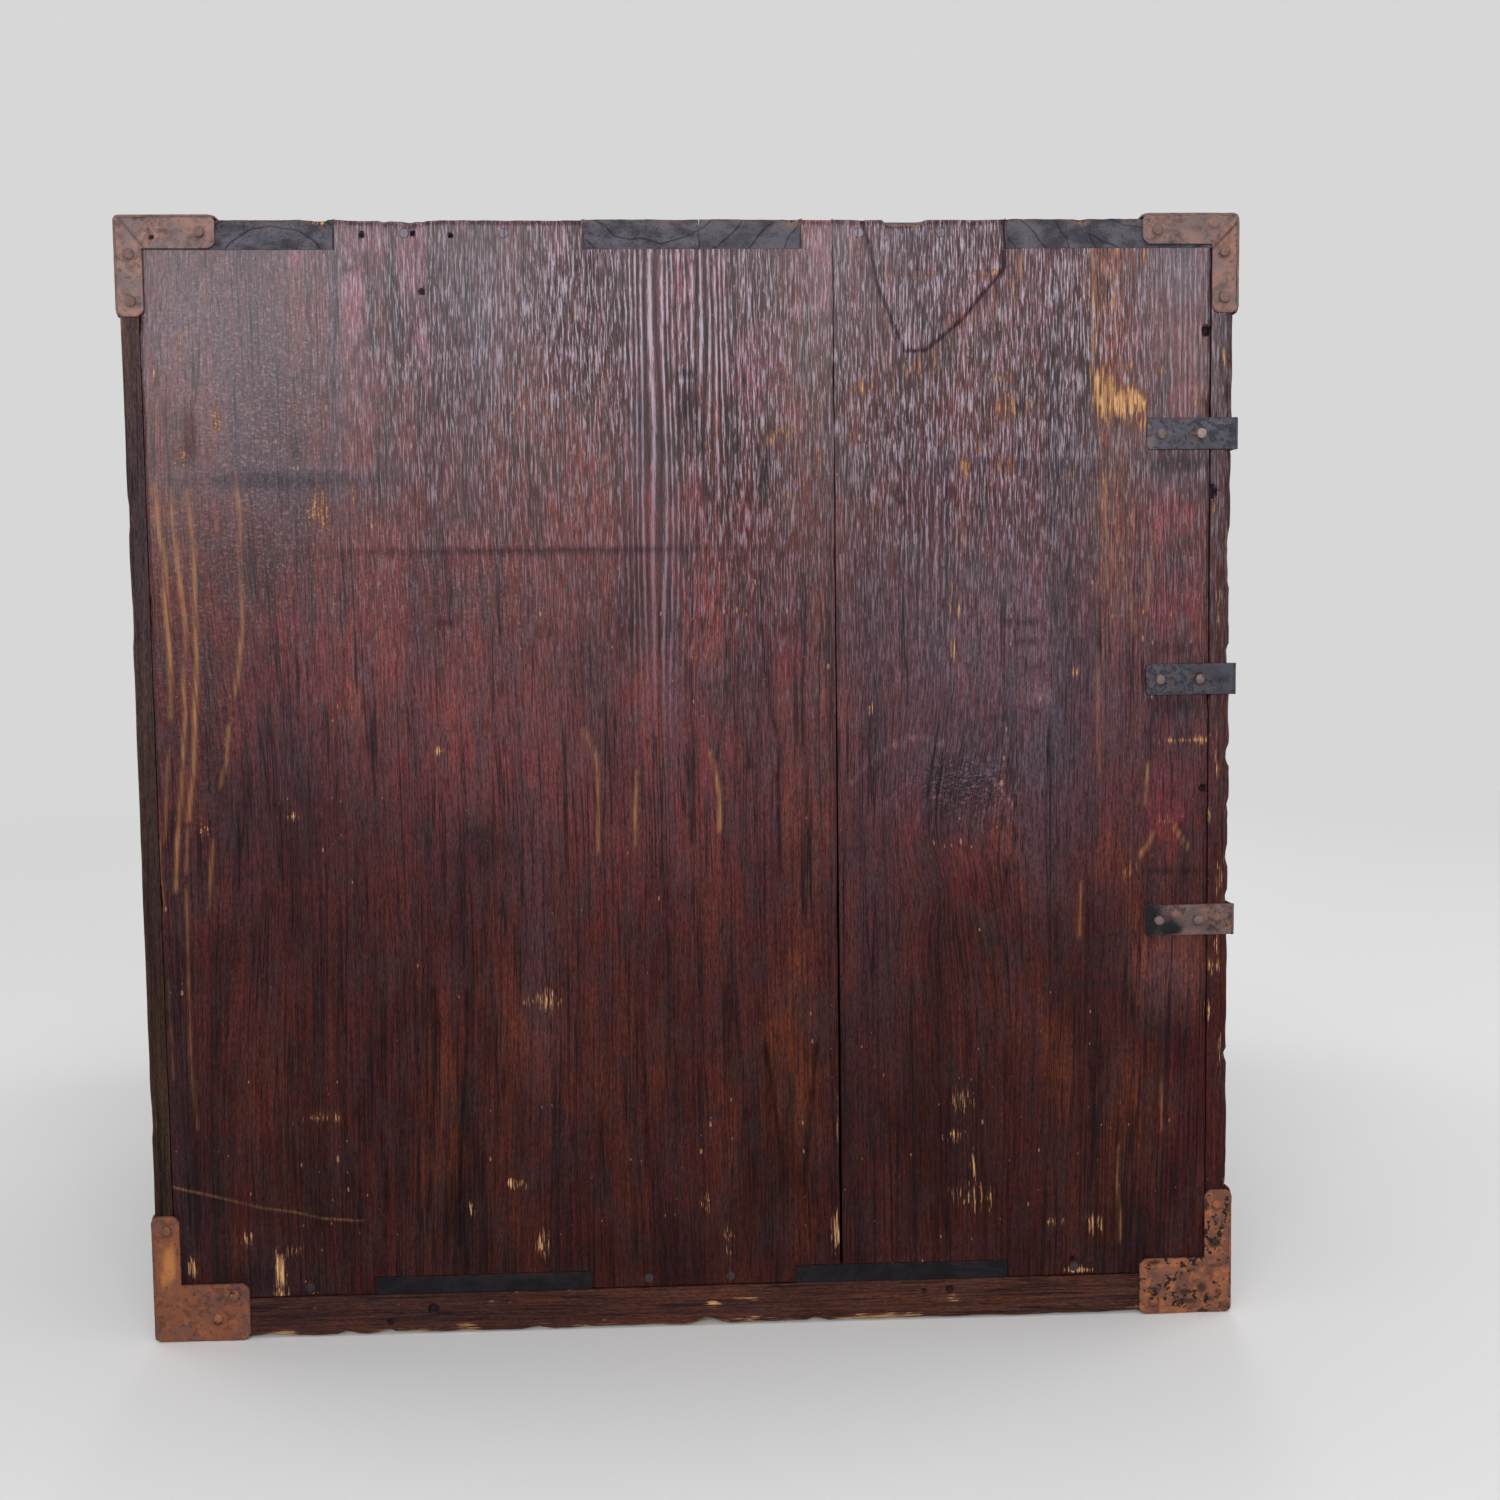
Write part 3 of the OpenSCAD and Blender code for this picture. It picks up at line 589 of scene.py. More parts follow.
def newGroup(name, inputs, outputs):
    tree = bpy.data.node_groups.new(name, "ShaderNodeTree")
    for key, kind, value in inputs:
        socket = tree.interface.new_socket(key, in_out="INPUT", socket_type="NodeSocket" + kind)
        if value is not None:
            socket.default_value = value
    for key, kind in outputs:
        tree.interface.new_socket(key, in_out="OUTPUT", socket_type="NodeSocket" + kind)
    return tree, tree.nodes.new("NodeGroupInput").outputs, tree.nodes.new("NodeGroupOutput").inputs


def place(tree, group, **values):
    node = tree.nodes.new("ShaderNodeGroup")
    node.node_tree = group
    for key, value in values.items():
        feed(tree, node.inputs[key], value)
    return node.outputs


def makeWoodFigure():
    # Growth bands, thin dark lines, open pores, raised streaks and their height, across x and along y.
    outputs = ("Bands", "Fine", "Lines", "Pores", "Crest", "Valley", "Blotch", "Dull", "Grit", "Flecks",
               "Height")
    tree, given, out = newGroup("woodFigure", [("Place", "Vector", None), ("Zones", "Vector", None),
                                               ("Relief", "Float", 0.5)], [(k, "Float") for k in outputs])
    at = given["Place"]
    stripes, pebble = splitUp(tree, given["Zones"])[1:]
    bands = rise(tree, noiseOf(tree, at, 0.13, 0.0035, 0.1, 2, 0.55, 0.2), 0.34, 0.66)
    fine = rise(tree, noiseOf(tree, at, 0.8, 0.018, 0.5, 3, 0.68), 0.36, 0.64)
    ridge = calc(tree, "ABSOLUTE", calc(tree, "SUBTRACT", noiseOf(tree, at, 0.3, 0.006, 0.3, 1.5), 0.5))
    lines = rise(tree, ridge, 0.0, 0.035, 1.0, 0.0)
    lines = calc(tree, "MULTIPLY", lines, rise(tree, noiseOf(tree, at, 0.12, 0.02, 0.2), 0.42, 0.6))
    pores = rise(tree, noiseOf(tree, at, 2.1, 0.13, 1.0, 2, 0.6), 0.56, 0.66)
    streaks = noiseOf(tree, at, 1.6, 0.11, 0.5, 3, 0.68, 0.3)
    wrinkles = noiseOf(tree, at, 0.62, 0.95, 0.5, 3, 0.65, 0.8)
    # Evenly lined grain: a triangle wave across the board, which wanders a little.
    across = times(tree, splitUp(tree, at)[0], 0.36)
    turn = calc(tree, "MULTIPLY_ADD", noiseOf(tree, at, 0.1, 0.006, 0.1, 1), 3.0, across)
    lined = calc(tree, "ABSOLUTE", calc(tree, "SUBTRACT", calc(tree, "FRACT", turn), 0.5))
    lined = calc(tree, "MULTIPLY_ADD", streaks, 0.35, calc(tree, "MULTIPLY_ADD", lined, 0.7, 0.15))
    swell = mixValues(tree, pebble, streaks, wrinkles)
    swell = mixValues(tree, stripes, swell, lined)
    values = {
        "Bands": bands, "Fine": fine, "Lines": lines, "Pores": pores,
        "Crest": rise(tree, swell, 0.51, 0.61), "Valley": rise(tree, swell, 0.38, 0.5, 1.0, 0.0),
        "Blotch": rise(tree, noiseOf(tree, at, 0.028, 0.014, 0.03, 3, 0.6), 0.38, 0.66),
        "Dull": rise(tree, noiseOf(tree, at, 0.1, 0.035, 0.1, 4, 0.7), 0.42, 0.64),
        "Grit": rise(tree, noiseOf(tree, at, 1.5, 0.45, 1.2, 3, 0.75), 0.32, 0.68),
        "Flecks": makeDashes(tree, at),
    }
    height = calc(tree, "MULTIPLY_ADD", swell, given["Relief"], calc(tree, "MULTIPLY", fine, 0.22))
    height = calc(tree, "SUBTRACT", height, calc(tree, "MULTIPLY", pores, 0.16))
    values["Height"] = calc(tree, "SUBTRACT", height, calc(tree, "MULTIPLY", lines, 0.22))
    for key in outputs:
        feed(tree, out[key], values[key])
    return tree


def makeDashes(tree, at):
    # Small upright dashes and dots of many sizes, in some regions only.
    cells = tree.nodes.new("ShaderNodeTexVoronoi")
    cells.voronoi_dimensions = "2D"
    feed(tree, cells.inputs["Vector"], stretched(tree, at, 0.24, 0.085, 0))
    cells.inputs["Scale"].default_value = 1
    picked, size = splitUp(tree, cells.outputs["Color"])[:2]
    reach = calc(tree, "MULTIPLY_ADD", calc(tree, "POWER", size, 4), 0.11, 0.028)
    ragged = noiseOf(tree, at, 2, 0.9, 1)
    away = calc(tree, "MULTIPLY_ADD", ragged, 0.12, calc(tree, "SUBTRACT", cells.outputs["Distance"], 0.06))
    dash = rise(tree, calc(tree, "DIVIDE", away, reach), 0.5, 1.2, 1.0, 0.0)
    region = rise(tree, noiseOf(tree, at, 0.022, 0.014, 0.03, 3), 0.5, 0.66, 0.02, 0.42)
    return times(tree, dash, calc(tree, "LESS_THAN", picked, region))


def makeRings():
    # Growth rings on the end of a board: thin arcs about four hearts, the nearest of which counts.
    tree, given, out = newGroup("endRings", [("Place", "Vector", None), ("Width", "Float", 4.5)],
                                [("Rings", "Float"), ("Mottle", "Float"), ("Pores", "Float")])
    at, spread = given["Place"], None
    for heartX, heartZ in ((60, 30), (211, -26), (338, 30), (415, -40)):
        away = tree.nodes.new("ShaderNodeVectorMath")
        away.operation = "DISTANCE"
        feed(tree, away.inputs[0], stretched(tree, at, 1, 0, 1))
        away.inputs[1].default_value = (heartX, 0, heartZ)
        spread = calc(tree, "MINIMUM", spread, away.outputs["Value"]) if spread else away.outputs["Value"]
    wander = noiseOf(tree, at, 0.09, 0.0, 0.09, 1)
    turn = calc(tree, "MULTIPLY_ADD", wander, 0.55, calc(tree, "DIVIDE", spread, given["Width"]))
    saw = calc(tree, "FRACT", turn)
    feed(tree, out["Rings"], rise(tree, saw, 0.0, 0.11, 1.0, 0.0))
    feed(tree, out["Mottle"], rise(tree, noiseOf(tree, at, 0.11, 0.003, 0.16, 4, 0.6), 0.35, 0.66))
    feed(tree, out["Pores"], rise(tree, noiseOf(tree, at, 1.6, 0.01, 1.6, 2, 0.6), 0.58, 0.68))
    return tree


def makePatina():
    # Rust on iron: how far it has gone, its blooms, broad patches, black blotches and their height.
    keys = ("Rust", "Bloom", "Patches", "Pits", "Height")
    tree, given, out = newGroup("ironPatina", [("Place", "Vector", None), ("Amount", "Float", 0.5)],
                                [(k, "Float") for k in keys])
    at = given["Place"]
    broad = noiseOf(tree, at, 0.12, 0.12, 0.12, 4, 0.6)
    grit = noiseOf(tree, at, 1.3, 1.3, 1.3, 3, 0.65)
    rust = calc(tree, "ADD", broad, calc(tree, "SUBTRACT", given["Amount"], 0.5))
    rust = rise(tree, calc(tree, "MULTIPLY_ADD", grit, 0.3, rust), 0.52, 0.8)
    patches = rise(tree, noiseOf(tree, at, 0.075, 0.075, 0.1, 3, 0.55), 0.44, 0.6)
    crowded = rise(tree, noiseOf(tree, at, 0.05, 0.05, 0.07, 2), 0.42, 0.6)
    pits = calc(tree, "MULTIPLY_ADD", crowded, 0.09, noiseOf(tree, at, 0.36, 0.36, 0.4, 4, 0.62))
    pits = rise(tree, pits, 0.6, 0.65)
    height = calc(tree, "SUBTRACT", calc(tree, "MULTIPLY", grit, 0.7), calc(tree, "MULTIPLY", pits, 0.6))
    height = calc(tree, "ADD", height, calc(tree, "MULTIPLY", rust, 0.4))
    bloom = rise(tree, noiseOf(tree, at, 0.2, 0.2, 0.25, 3, 0.6), 0.5, 0.66)
    for key, value in zip(keys, (rust, bloom, patches, pits, height)):
        feed(tree, out[key], value)
    return tree


woodFigure, endRings, ironPatina = makeWoodFigure(), makeRings(), makePatina()


def newMaterial(name):
    material = bpy.data.materials.new(name)
    material.use_nodes = True
    tree = material.node_tree
    return material, tree, tree.nodes["Principled BSDF"].inputs


def attribute(tree, name):
    node = tree.nodes.new("ShaderNodeAttribute")
    node.attribute_name = name
    return node.outputs["Vector"]


def bump(tree, height, distance, strength=1.0):
    node = tree.nodes.new("ShaderNodeBump")
    node.inputs["Strength"].default_value = strength
    node.inputs["Distance"].default_value = distance
    feed(tree, node.inputs["Height"], height)
    return node.outputs[0]


def painted(tree, look, colour, *coats):
    # Each coat is how much of it there is, and the name of its colour in the look.
    for share, key in coats:
        colour = mixColours(tree, share, colour, look[key])
    return colour


def lacqueredWood(name, look):
    # Old red-brown lacquer over open grain, worn through where the marks say so.
    material, tree, shader = newMaterial(name)
    bare, stain, relief = splitUp(tree, attribute(tree, "marks"))
    polish, warm, pink = splitUp(tree, attribute(tree, "tones"))
    thread, bright, crimson = splitUp(tree, attribute(tree, "drawn"))
    zones = attribute(tree, "zones")
    slate = splitUp(tree, zones)[0]
    figure = place(tree, woodFigure, Place=attribute(tree, "read"), Zones=zones, Relief=look["relief"])
    partly = calc(tree, "MULTIPLY_ADD", figure["Fine"], 0.7, 0.3)
    colour = painted(
        tree, look, mixColours(tree, figure["Bands"], look["dark"], look["mid"]),
        (times(tree, figure["Fine"], 0.5), "light"), (times(tree, warm, partly), "orange"),
        (times(tree, crimson, partly), "crimson"), (times(tree, figure["Blotch"], 0.45), "dark"),
        (times(tree, pink, 0.75), "pink"), (times(tree, figure["Dull"], look["dulled"]), "dull"),
        (times(tree, slate, 0.6), "slate"))
    colour = scaled(tree, colour, times(tree, bright, calc(tree, "MULTIPLY_ADD", figure["Grit"], 0.7, 0.65)))
    raised = times(tree, relief, calc(tree, "MULTIPLY_ADD", polish, 0.85, 0.15))
    # Raised crests get a painted highlight in the bloom colour and the valleys between them painted shade,
    # both stronger where the polish is high.
    colour = painted(
        tree, look, colour, (times(tree, raised, figure["Valley"], look["paintedValleyShade"]), "line"),
        (times(tree, relief, polish, figure["Crest"], look["paintedCrestGlint"]), "bloom"),
        (times(tree, figure["Lines"], 0.8), "line"), (times(tree, figure["Pores"], 0.6), "line"),
        (times(tree, thread, partly), "thread"))
    torn = calc(tree, "SUBTRACT", calc(tree, "ADD", figure["Crest"], figure["Fine"]), 1.0)
    broken = calc(tree, "MULTIPLY_ADD", torn, 0.7, bare)
    broken = times(tree, rise(tree, broken, 0.36, 0.72), rise(tree, bare, 0.03, 0.2))
    raw = mixColours(tree, rise(tree, calc(tree, "MULTIPLY_ADD", torn, 0.6, bare), 0.35, 1.3),
                     look["bareDark"], look["bareLight"])
    raw = mixColours(tree, times(tree, figure["Pores"], 0.6), raw, look["dark"])
    colour = painted(tree, look, mixColours(tree, broken, colour, raw),
                     (times(tree, figure["Flecks"], look["flecks"]), "fleck"),
                     (times(tree, stain, 0.85), "stain"))
    feed(tree, shader["Base Color"], colour)
    shader["Specular IOR Level"].default_value = look["specular"]
    rough = rise(tree, figure["Fine"], 0.0, 1.0, look["rough"] + 0.08, look["rough"] - 0.04)
    feed(tree, shader["Roughness"], calc(tree, "MAXIMUM", rough, times(tree, broken, 0.85)))
    shine = mixValues(tree, relief, 0.8, calc(tree, "MULTIPLY_ADD", figure["Crest"], 0.75, 0.25))
    covered = calc(tree, "SUBTRACT", 1.0, calc(tree, "MAXIMUM", broken, stain), clamp=True)
    feed(tree, shader["Coat Weight"], times(tree, polish, shine, covered))
    shader["Coat Roughness"].default_value = look["coatRough"]
    feed(tree, shader["Normal"], bump(tree, figure["Height"], look["bump"]))
    return material


def endGrainWood(name, look):
    material, tree, shader = newMaterial(name)
    bare, stain = splitUp(tree, attribute(tree, "marks"))[:2]
    rings = place(tree, endRings, Place=attribute(tree, "read"), Width=look["ring"])
    # End grain takes the darker colour where the polish is low, which on the sides is towards the foot.
    low = rise(tree, splitUp(tree, attribute(tree, "tones"))[0], 0.1, 0.5, 0.9, 0.0)
    feed(tree, shader["Base Color"], painted(
        tree, look, mixColours(tree, rings["Mottle"], look["dark"], look["light"]),
        (low, "darkUnpolished"), (times(tree, rings["Rings"], 0.7), "pore"), (times(tree, rings["Pores"], 0.5), "pore"),
        (times(tree, bare, rings["Mottle"], 0.7), "bare"), (times(tree, stain, 0.85), "pore")))
    feed(tree, shader["Roughness"], rise(tree, rings["Mottle"], 0, 1, 0.65, 0.5))
    shader["Specular IOR Level"].default_value = 0.05
    height = calc(tree, "SUBTRACT", rings["Mottle"], times(tree, rings["Pores"], 0.8))
    height = calc(tree, "SUBTRACT", height, times(tree, rings["Rings"], 1.2))
    feed(tree, shader["Normal"], bump(tree, height, 0.00018))
    return material


def rawWood(name, look, along):
    # Unfinished wood on plain solids, whose grain runs along one axis.
    material, tree, shader = newMaterial(name)
    coords = tree.nodes.new("ShaderNodeTexCoord").outputs["Object"]
    mapping = tree.nodes.new("ShaderNodeMapping")
    feed(tree, mapping.inputs["Vector"], coords)
    mapping.inputs["Scale"].default_value = (mmPerM, mmPerM, mmPerM)
    axes = splitUp(tree, mapping.outputs[0])
    join = tree.nodes.new("ShaderNodeCombineXYZ")
    for socket, axis in zip(join.inputs, {"x": (1, 0, 2), "y": (0, 1, 2)}[along]):
        feed(tree, socket, axes[axis])
    figure = place(tree, woodFigure, Place=join.outputs[0], Zones=(0, 0, 0), Relief=0.3)
    dirt = rise(tree, noiseOf(tree, join.outputs[0], 0.012, 0.008, 0.012, 4, 0.6), 0.45, 0.75)
    feed(tree, shader["Base Color"], painted(
        tree, look, mixColours(tree, figure["Bands"], look["dark"], look["light"]),
        (times(tree, figure["Fine"], 0.35), "pale"), (times(tree, figure["Lines"], 0.5), "line"),
        (times(tree, figure["Pores"], 0.4), "line"), (times(tree, dirt, 0.65), "dirt")))
    shader["Roughness"].default_value = 0.78
    feed(tree, shader["Normal"], bump(tree, figure["Height"], 0.0002))
    return material


def oldIron(name, look, ownMarks=True):
    # Sheet or forged iron under brown rust, dark where it is rubbed, with black blotches.
    material, tree, shader = newMaterial(name)
    if ownMarks:
        at = attribute(tree, "read")
        bare, stain = splitUp(tree, attribute(tree, "marks"))[:2]
        warm = splitUp(tree, attribute(tree, "tones"))[1]
        bright = splitUp(tree, attribute(tree, "drawn"))[1]
    else:
        coords = tree.nodes.new("ShaderNodeTexCoord").outputs["Object"]
        at, bare, stain, warm, bright = stretched(tree, coords, mmPerM, mmPerM, mmPerM), 0.0, 0.0, 0.0, 1.0
    patina = place(tree, ironPatina, Place=at, Amount=calc(tree, "MULTIPLY_ADD", warm, 0.5, look["amount"]))
    share = calc(tree, "ADD", times(tree, patina["Bloom"], look["bloomShare"]), warm, clamp=True)
    colour = painted(
        tree, look, mixColours(tree, patina["Rust"], look["dark"], look["rust"]),
        (times(tree, patina["Patches"], look["patchShare"]), "patch"), (share, "bloom"),
        (times(tree, patina["Pits"], look["pitShare"]), "pit"))
    rubbed = calc(tree, "MULTIPLY", bare, 1.0, clamp=True)
    feed(tree, shader["Base Color"], painted(tree, look, scaled(tree, colour, bright), (rubbed, "bright"),
                                             (times(tree, stain, 0.85), "pit")))
    shader["Specular IOR Level"].default_value = 0.22
    feed(tree, shader["Metallic"], rise(tree, patina["Rust"], 0, 1, look["metal"], 0.05))
    feed(tree, shader["Roughness"], rise(tree, patina["Rust"], 0, 1, look["rough"], look["rough"] + 0.25))
    feed(tree, shader["Normal"], bump(tree, patina["Height"], look["bump"]))
    return material


# In the lacquer looks, bloom is the colour of the painted highlight put on raised crests.
sideLook = {
    "dark": (0.013, 0.0042, 0.0045), "mid": (0.052, 0.0115, 0.0098), "light": (0.11, 0.024, 0.019),
    "orange": (0.15, 0.036, 0.014), "crimson": (0.135, 0.019, 0.021), "bloom": (0.36, 0.285, 0.385),
    "pink": (0.19, 0.066, 0.085), "slate": (0.05, 0.044, 0.064), "line": (0.007, 0.0045, 0.0065),
    "bareDark": (0.15, 0.062, 0.028), "bareLight": (0.60, 0.33, 0.165), "thread": (0.36, 0.165, 0.065),
    "fleck": (0.38, 0.20, 0.11), "stain": (0.012, 0.011, 0.018), "dull": (0.036, 0.021, 0.022),
    "dulled": 0.5, "paintedCrestGlint": 0.64, "paintedValleyShade": 0.8, "relief": 0.9, "specular": 0.05, "rough": 0.5,
    "coatRough": 0.32, "bump": 0.0005, "flecks": 0.65,
}
sideWood = lacqueredWood("sideLacquer", sideLook)
topWood = lacqueredWood("topLacquer", {**sideLook, "relief": 0.6, "paintedCrestGlint": 0.35, "bump": 0.00025})
frontWood = lacqueredWood("frontLacquer", {
    **sideLook, "relief": 0.5, "paintedCrestGlint": 0.2, "paintedValleyShade": 0.4, "bump": 0.0002, "flecks": 0.3, "dulled": 0.25,
    "dark": (0.024, 0.0065, 0.0045), "mid": (0.07, 0.016, 0.0105)})
railWood = lacqueredWood("railLacquer", {
    **sideLook, "dark": (0.019, 0.0068, 0.006), "mid": (0.06, 0.018, 0.012), "light": (0.105, 0.036, 0.022),
    "orange": (0.14, 0.045, 0.02), "flecks": 0.3, "dulled": 0.3})
backWood = lacqueredWood("backWood", {
    **sideLook, "dark": (0.028, 0.013, 0.010), "mid": (0.07, 0.033, 0.023), "light": (0.12, 0.065, 0.043),
    "orange": (0.15, 0.07, 0.035), "paintedCrestGlint": 0.2, "rough": 0.68, "bareLight": (0.5, 0.3, 0.17), "flecks": 0.2})
endWood = endGrainWood("endGrain", {
    "dark": (0.047, 0.043, 0.054), "light": (0.10, 0.093, 0.113), "pore": (0.010, 0.009, 0.012),
    "bare": (0.26, 0.12, 0.055), "darkUnpolished": (0.0055, 0.0045, 0.0055), "ring": 9.5})
pegWood = endGrainWood("pegEnd", {
    "dark": (0.10, 0.082, 0.095), "light": (0.24, 0.21, 0.24), "pore": (0.02, 0.015, 0.018),
    "bare": (0.3, 0.15, 0.08), "darkUnpolished": (0.03, 0.017, 0.017), "ring": 2.6})
rawLook = {"dark": (0.17, 0.095, 0.047), "light": (0.285, 0.17, 0.09), "pale": (0.38, 0.245, 0.14),
           "line": (0.08, 0.042, 0.024), "dirt": (0.095, 0.062, 0.042)}
rawAcross, rawDeep = rawWood("rawWoodAcross", rawLook, "x"), rawWood("rawWoodDeep", rawLook, "y")
footLook = {
    "dark": (0.055, 0.026, 0.02), "rust": (0.16, 0.06, 0.036), "bloom": (0.27, 0.09, 0.035),
    "patch": (0.075, 0.04, 0.034), "pit": (0.008, 0.006, 0.006),
    "bloomShare": 0.5, "patchShare": 0.6, "pitShare": 0.95,
    "bright": (0.42, 0.17, 0.05), "metal": 0.2, "rough": 0.62, "amount": 0.66, "bump": 0.0003}
footIron = oldIron("footIron", {
    **footLook, "rust": (0.2, 0.075, 0.042), "bloom": (0.34, 0.115, 0.042), "bloomShare": 0.75})
rearFootIron = oldIron("rearFootIron", {
    **footLook, "patch": (0.085, 0.05, 0.052), "patchShare": 0.8, "pitShare": 0.3})
rustyIron = oldIron("rustyIron", {
    "dark": (0.085, 0.062, 0.062), "rust": (0.20, 0.118, 0.10), "bloom": (0.29, 0.12, 0.075),
    "patch": (0.13, 0.094, 0.094), "pit": (0.012, 0.009, 0.009),
    "bloomShare": 0.35, "patchShare": 0.75, "pitShare": 0.22,
    "bright": (0.5, 0.38, 0.33), "metal": 0.35, "rough": 0.55, "amount": 0.6, "bump": 0.0002})
darkIron = oldIron("darkIron", {
    "dark": (0.046, 0.045, 0.058), "rust": (0.085, 0.052, 0.046), "bloom": (0.19, 0.095, 0.07),
    "patch": (0.024, 0.021, 0.028), "pit": (0.008, 0.007, 0.009),
    "bloomShare": 0.25, "patchShare": 0.5, "pitShare": 0.5,
    "bright": (0.5, 0.36, 0.32), "metal": 0.4, "rough": 0.5, "amount": 0.42, "bump": 0.00022})
handleIron = oldIron("handleIron", {
    "dark": (0.028, 0.022, 0.021), "rust": (0.08, 0.04, 0.028), "bloom": (0.15, 0.08, 0.055),
    "patch": (0.05, 0.03, 0.024), "pit": (0.01, 0.008, 0.008),
    "bloomShare": 0.2, "patchShare": 0.5, "pitShare": 0.6,
    "bright": (0.4, 0.36, 0.33), "metal": 0.6, "rough": 0.42, "amount": 0.36,
    "bump": 0.00015}, ownMarks=False)
print("finishes made")

# Case woodwork

def inMarks(marks, gaps, low, high):
    # The gaps of a finger joint that cross a plank, cut to its width.
    spans = [(max(marks[g], low), min(marks[g + 1], high)) for g in gaps]
    return [s for s in spans if s[1] - s[0] > 1]


darkJoint = {"gap": (0.55, 0.02), "round": 0.1, "chips": 0.1}  # opens towards the foot
calmEdge = {"gap": 0.1, "round": 0.4, "chips": 0.2}
fingerEdge = {"gap": 0.3, "round": 1.3, "chips": 1.0}

# Painted sheen: the sides' colour is made lighter towards the top and darker towards the foot.
paintedSheenByHeight = ((0, 0.72), (40, 0.78), (100, 0.88), (165, 1.04), (262, 1.82), (345, 1.72), (455, 1.95))

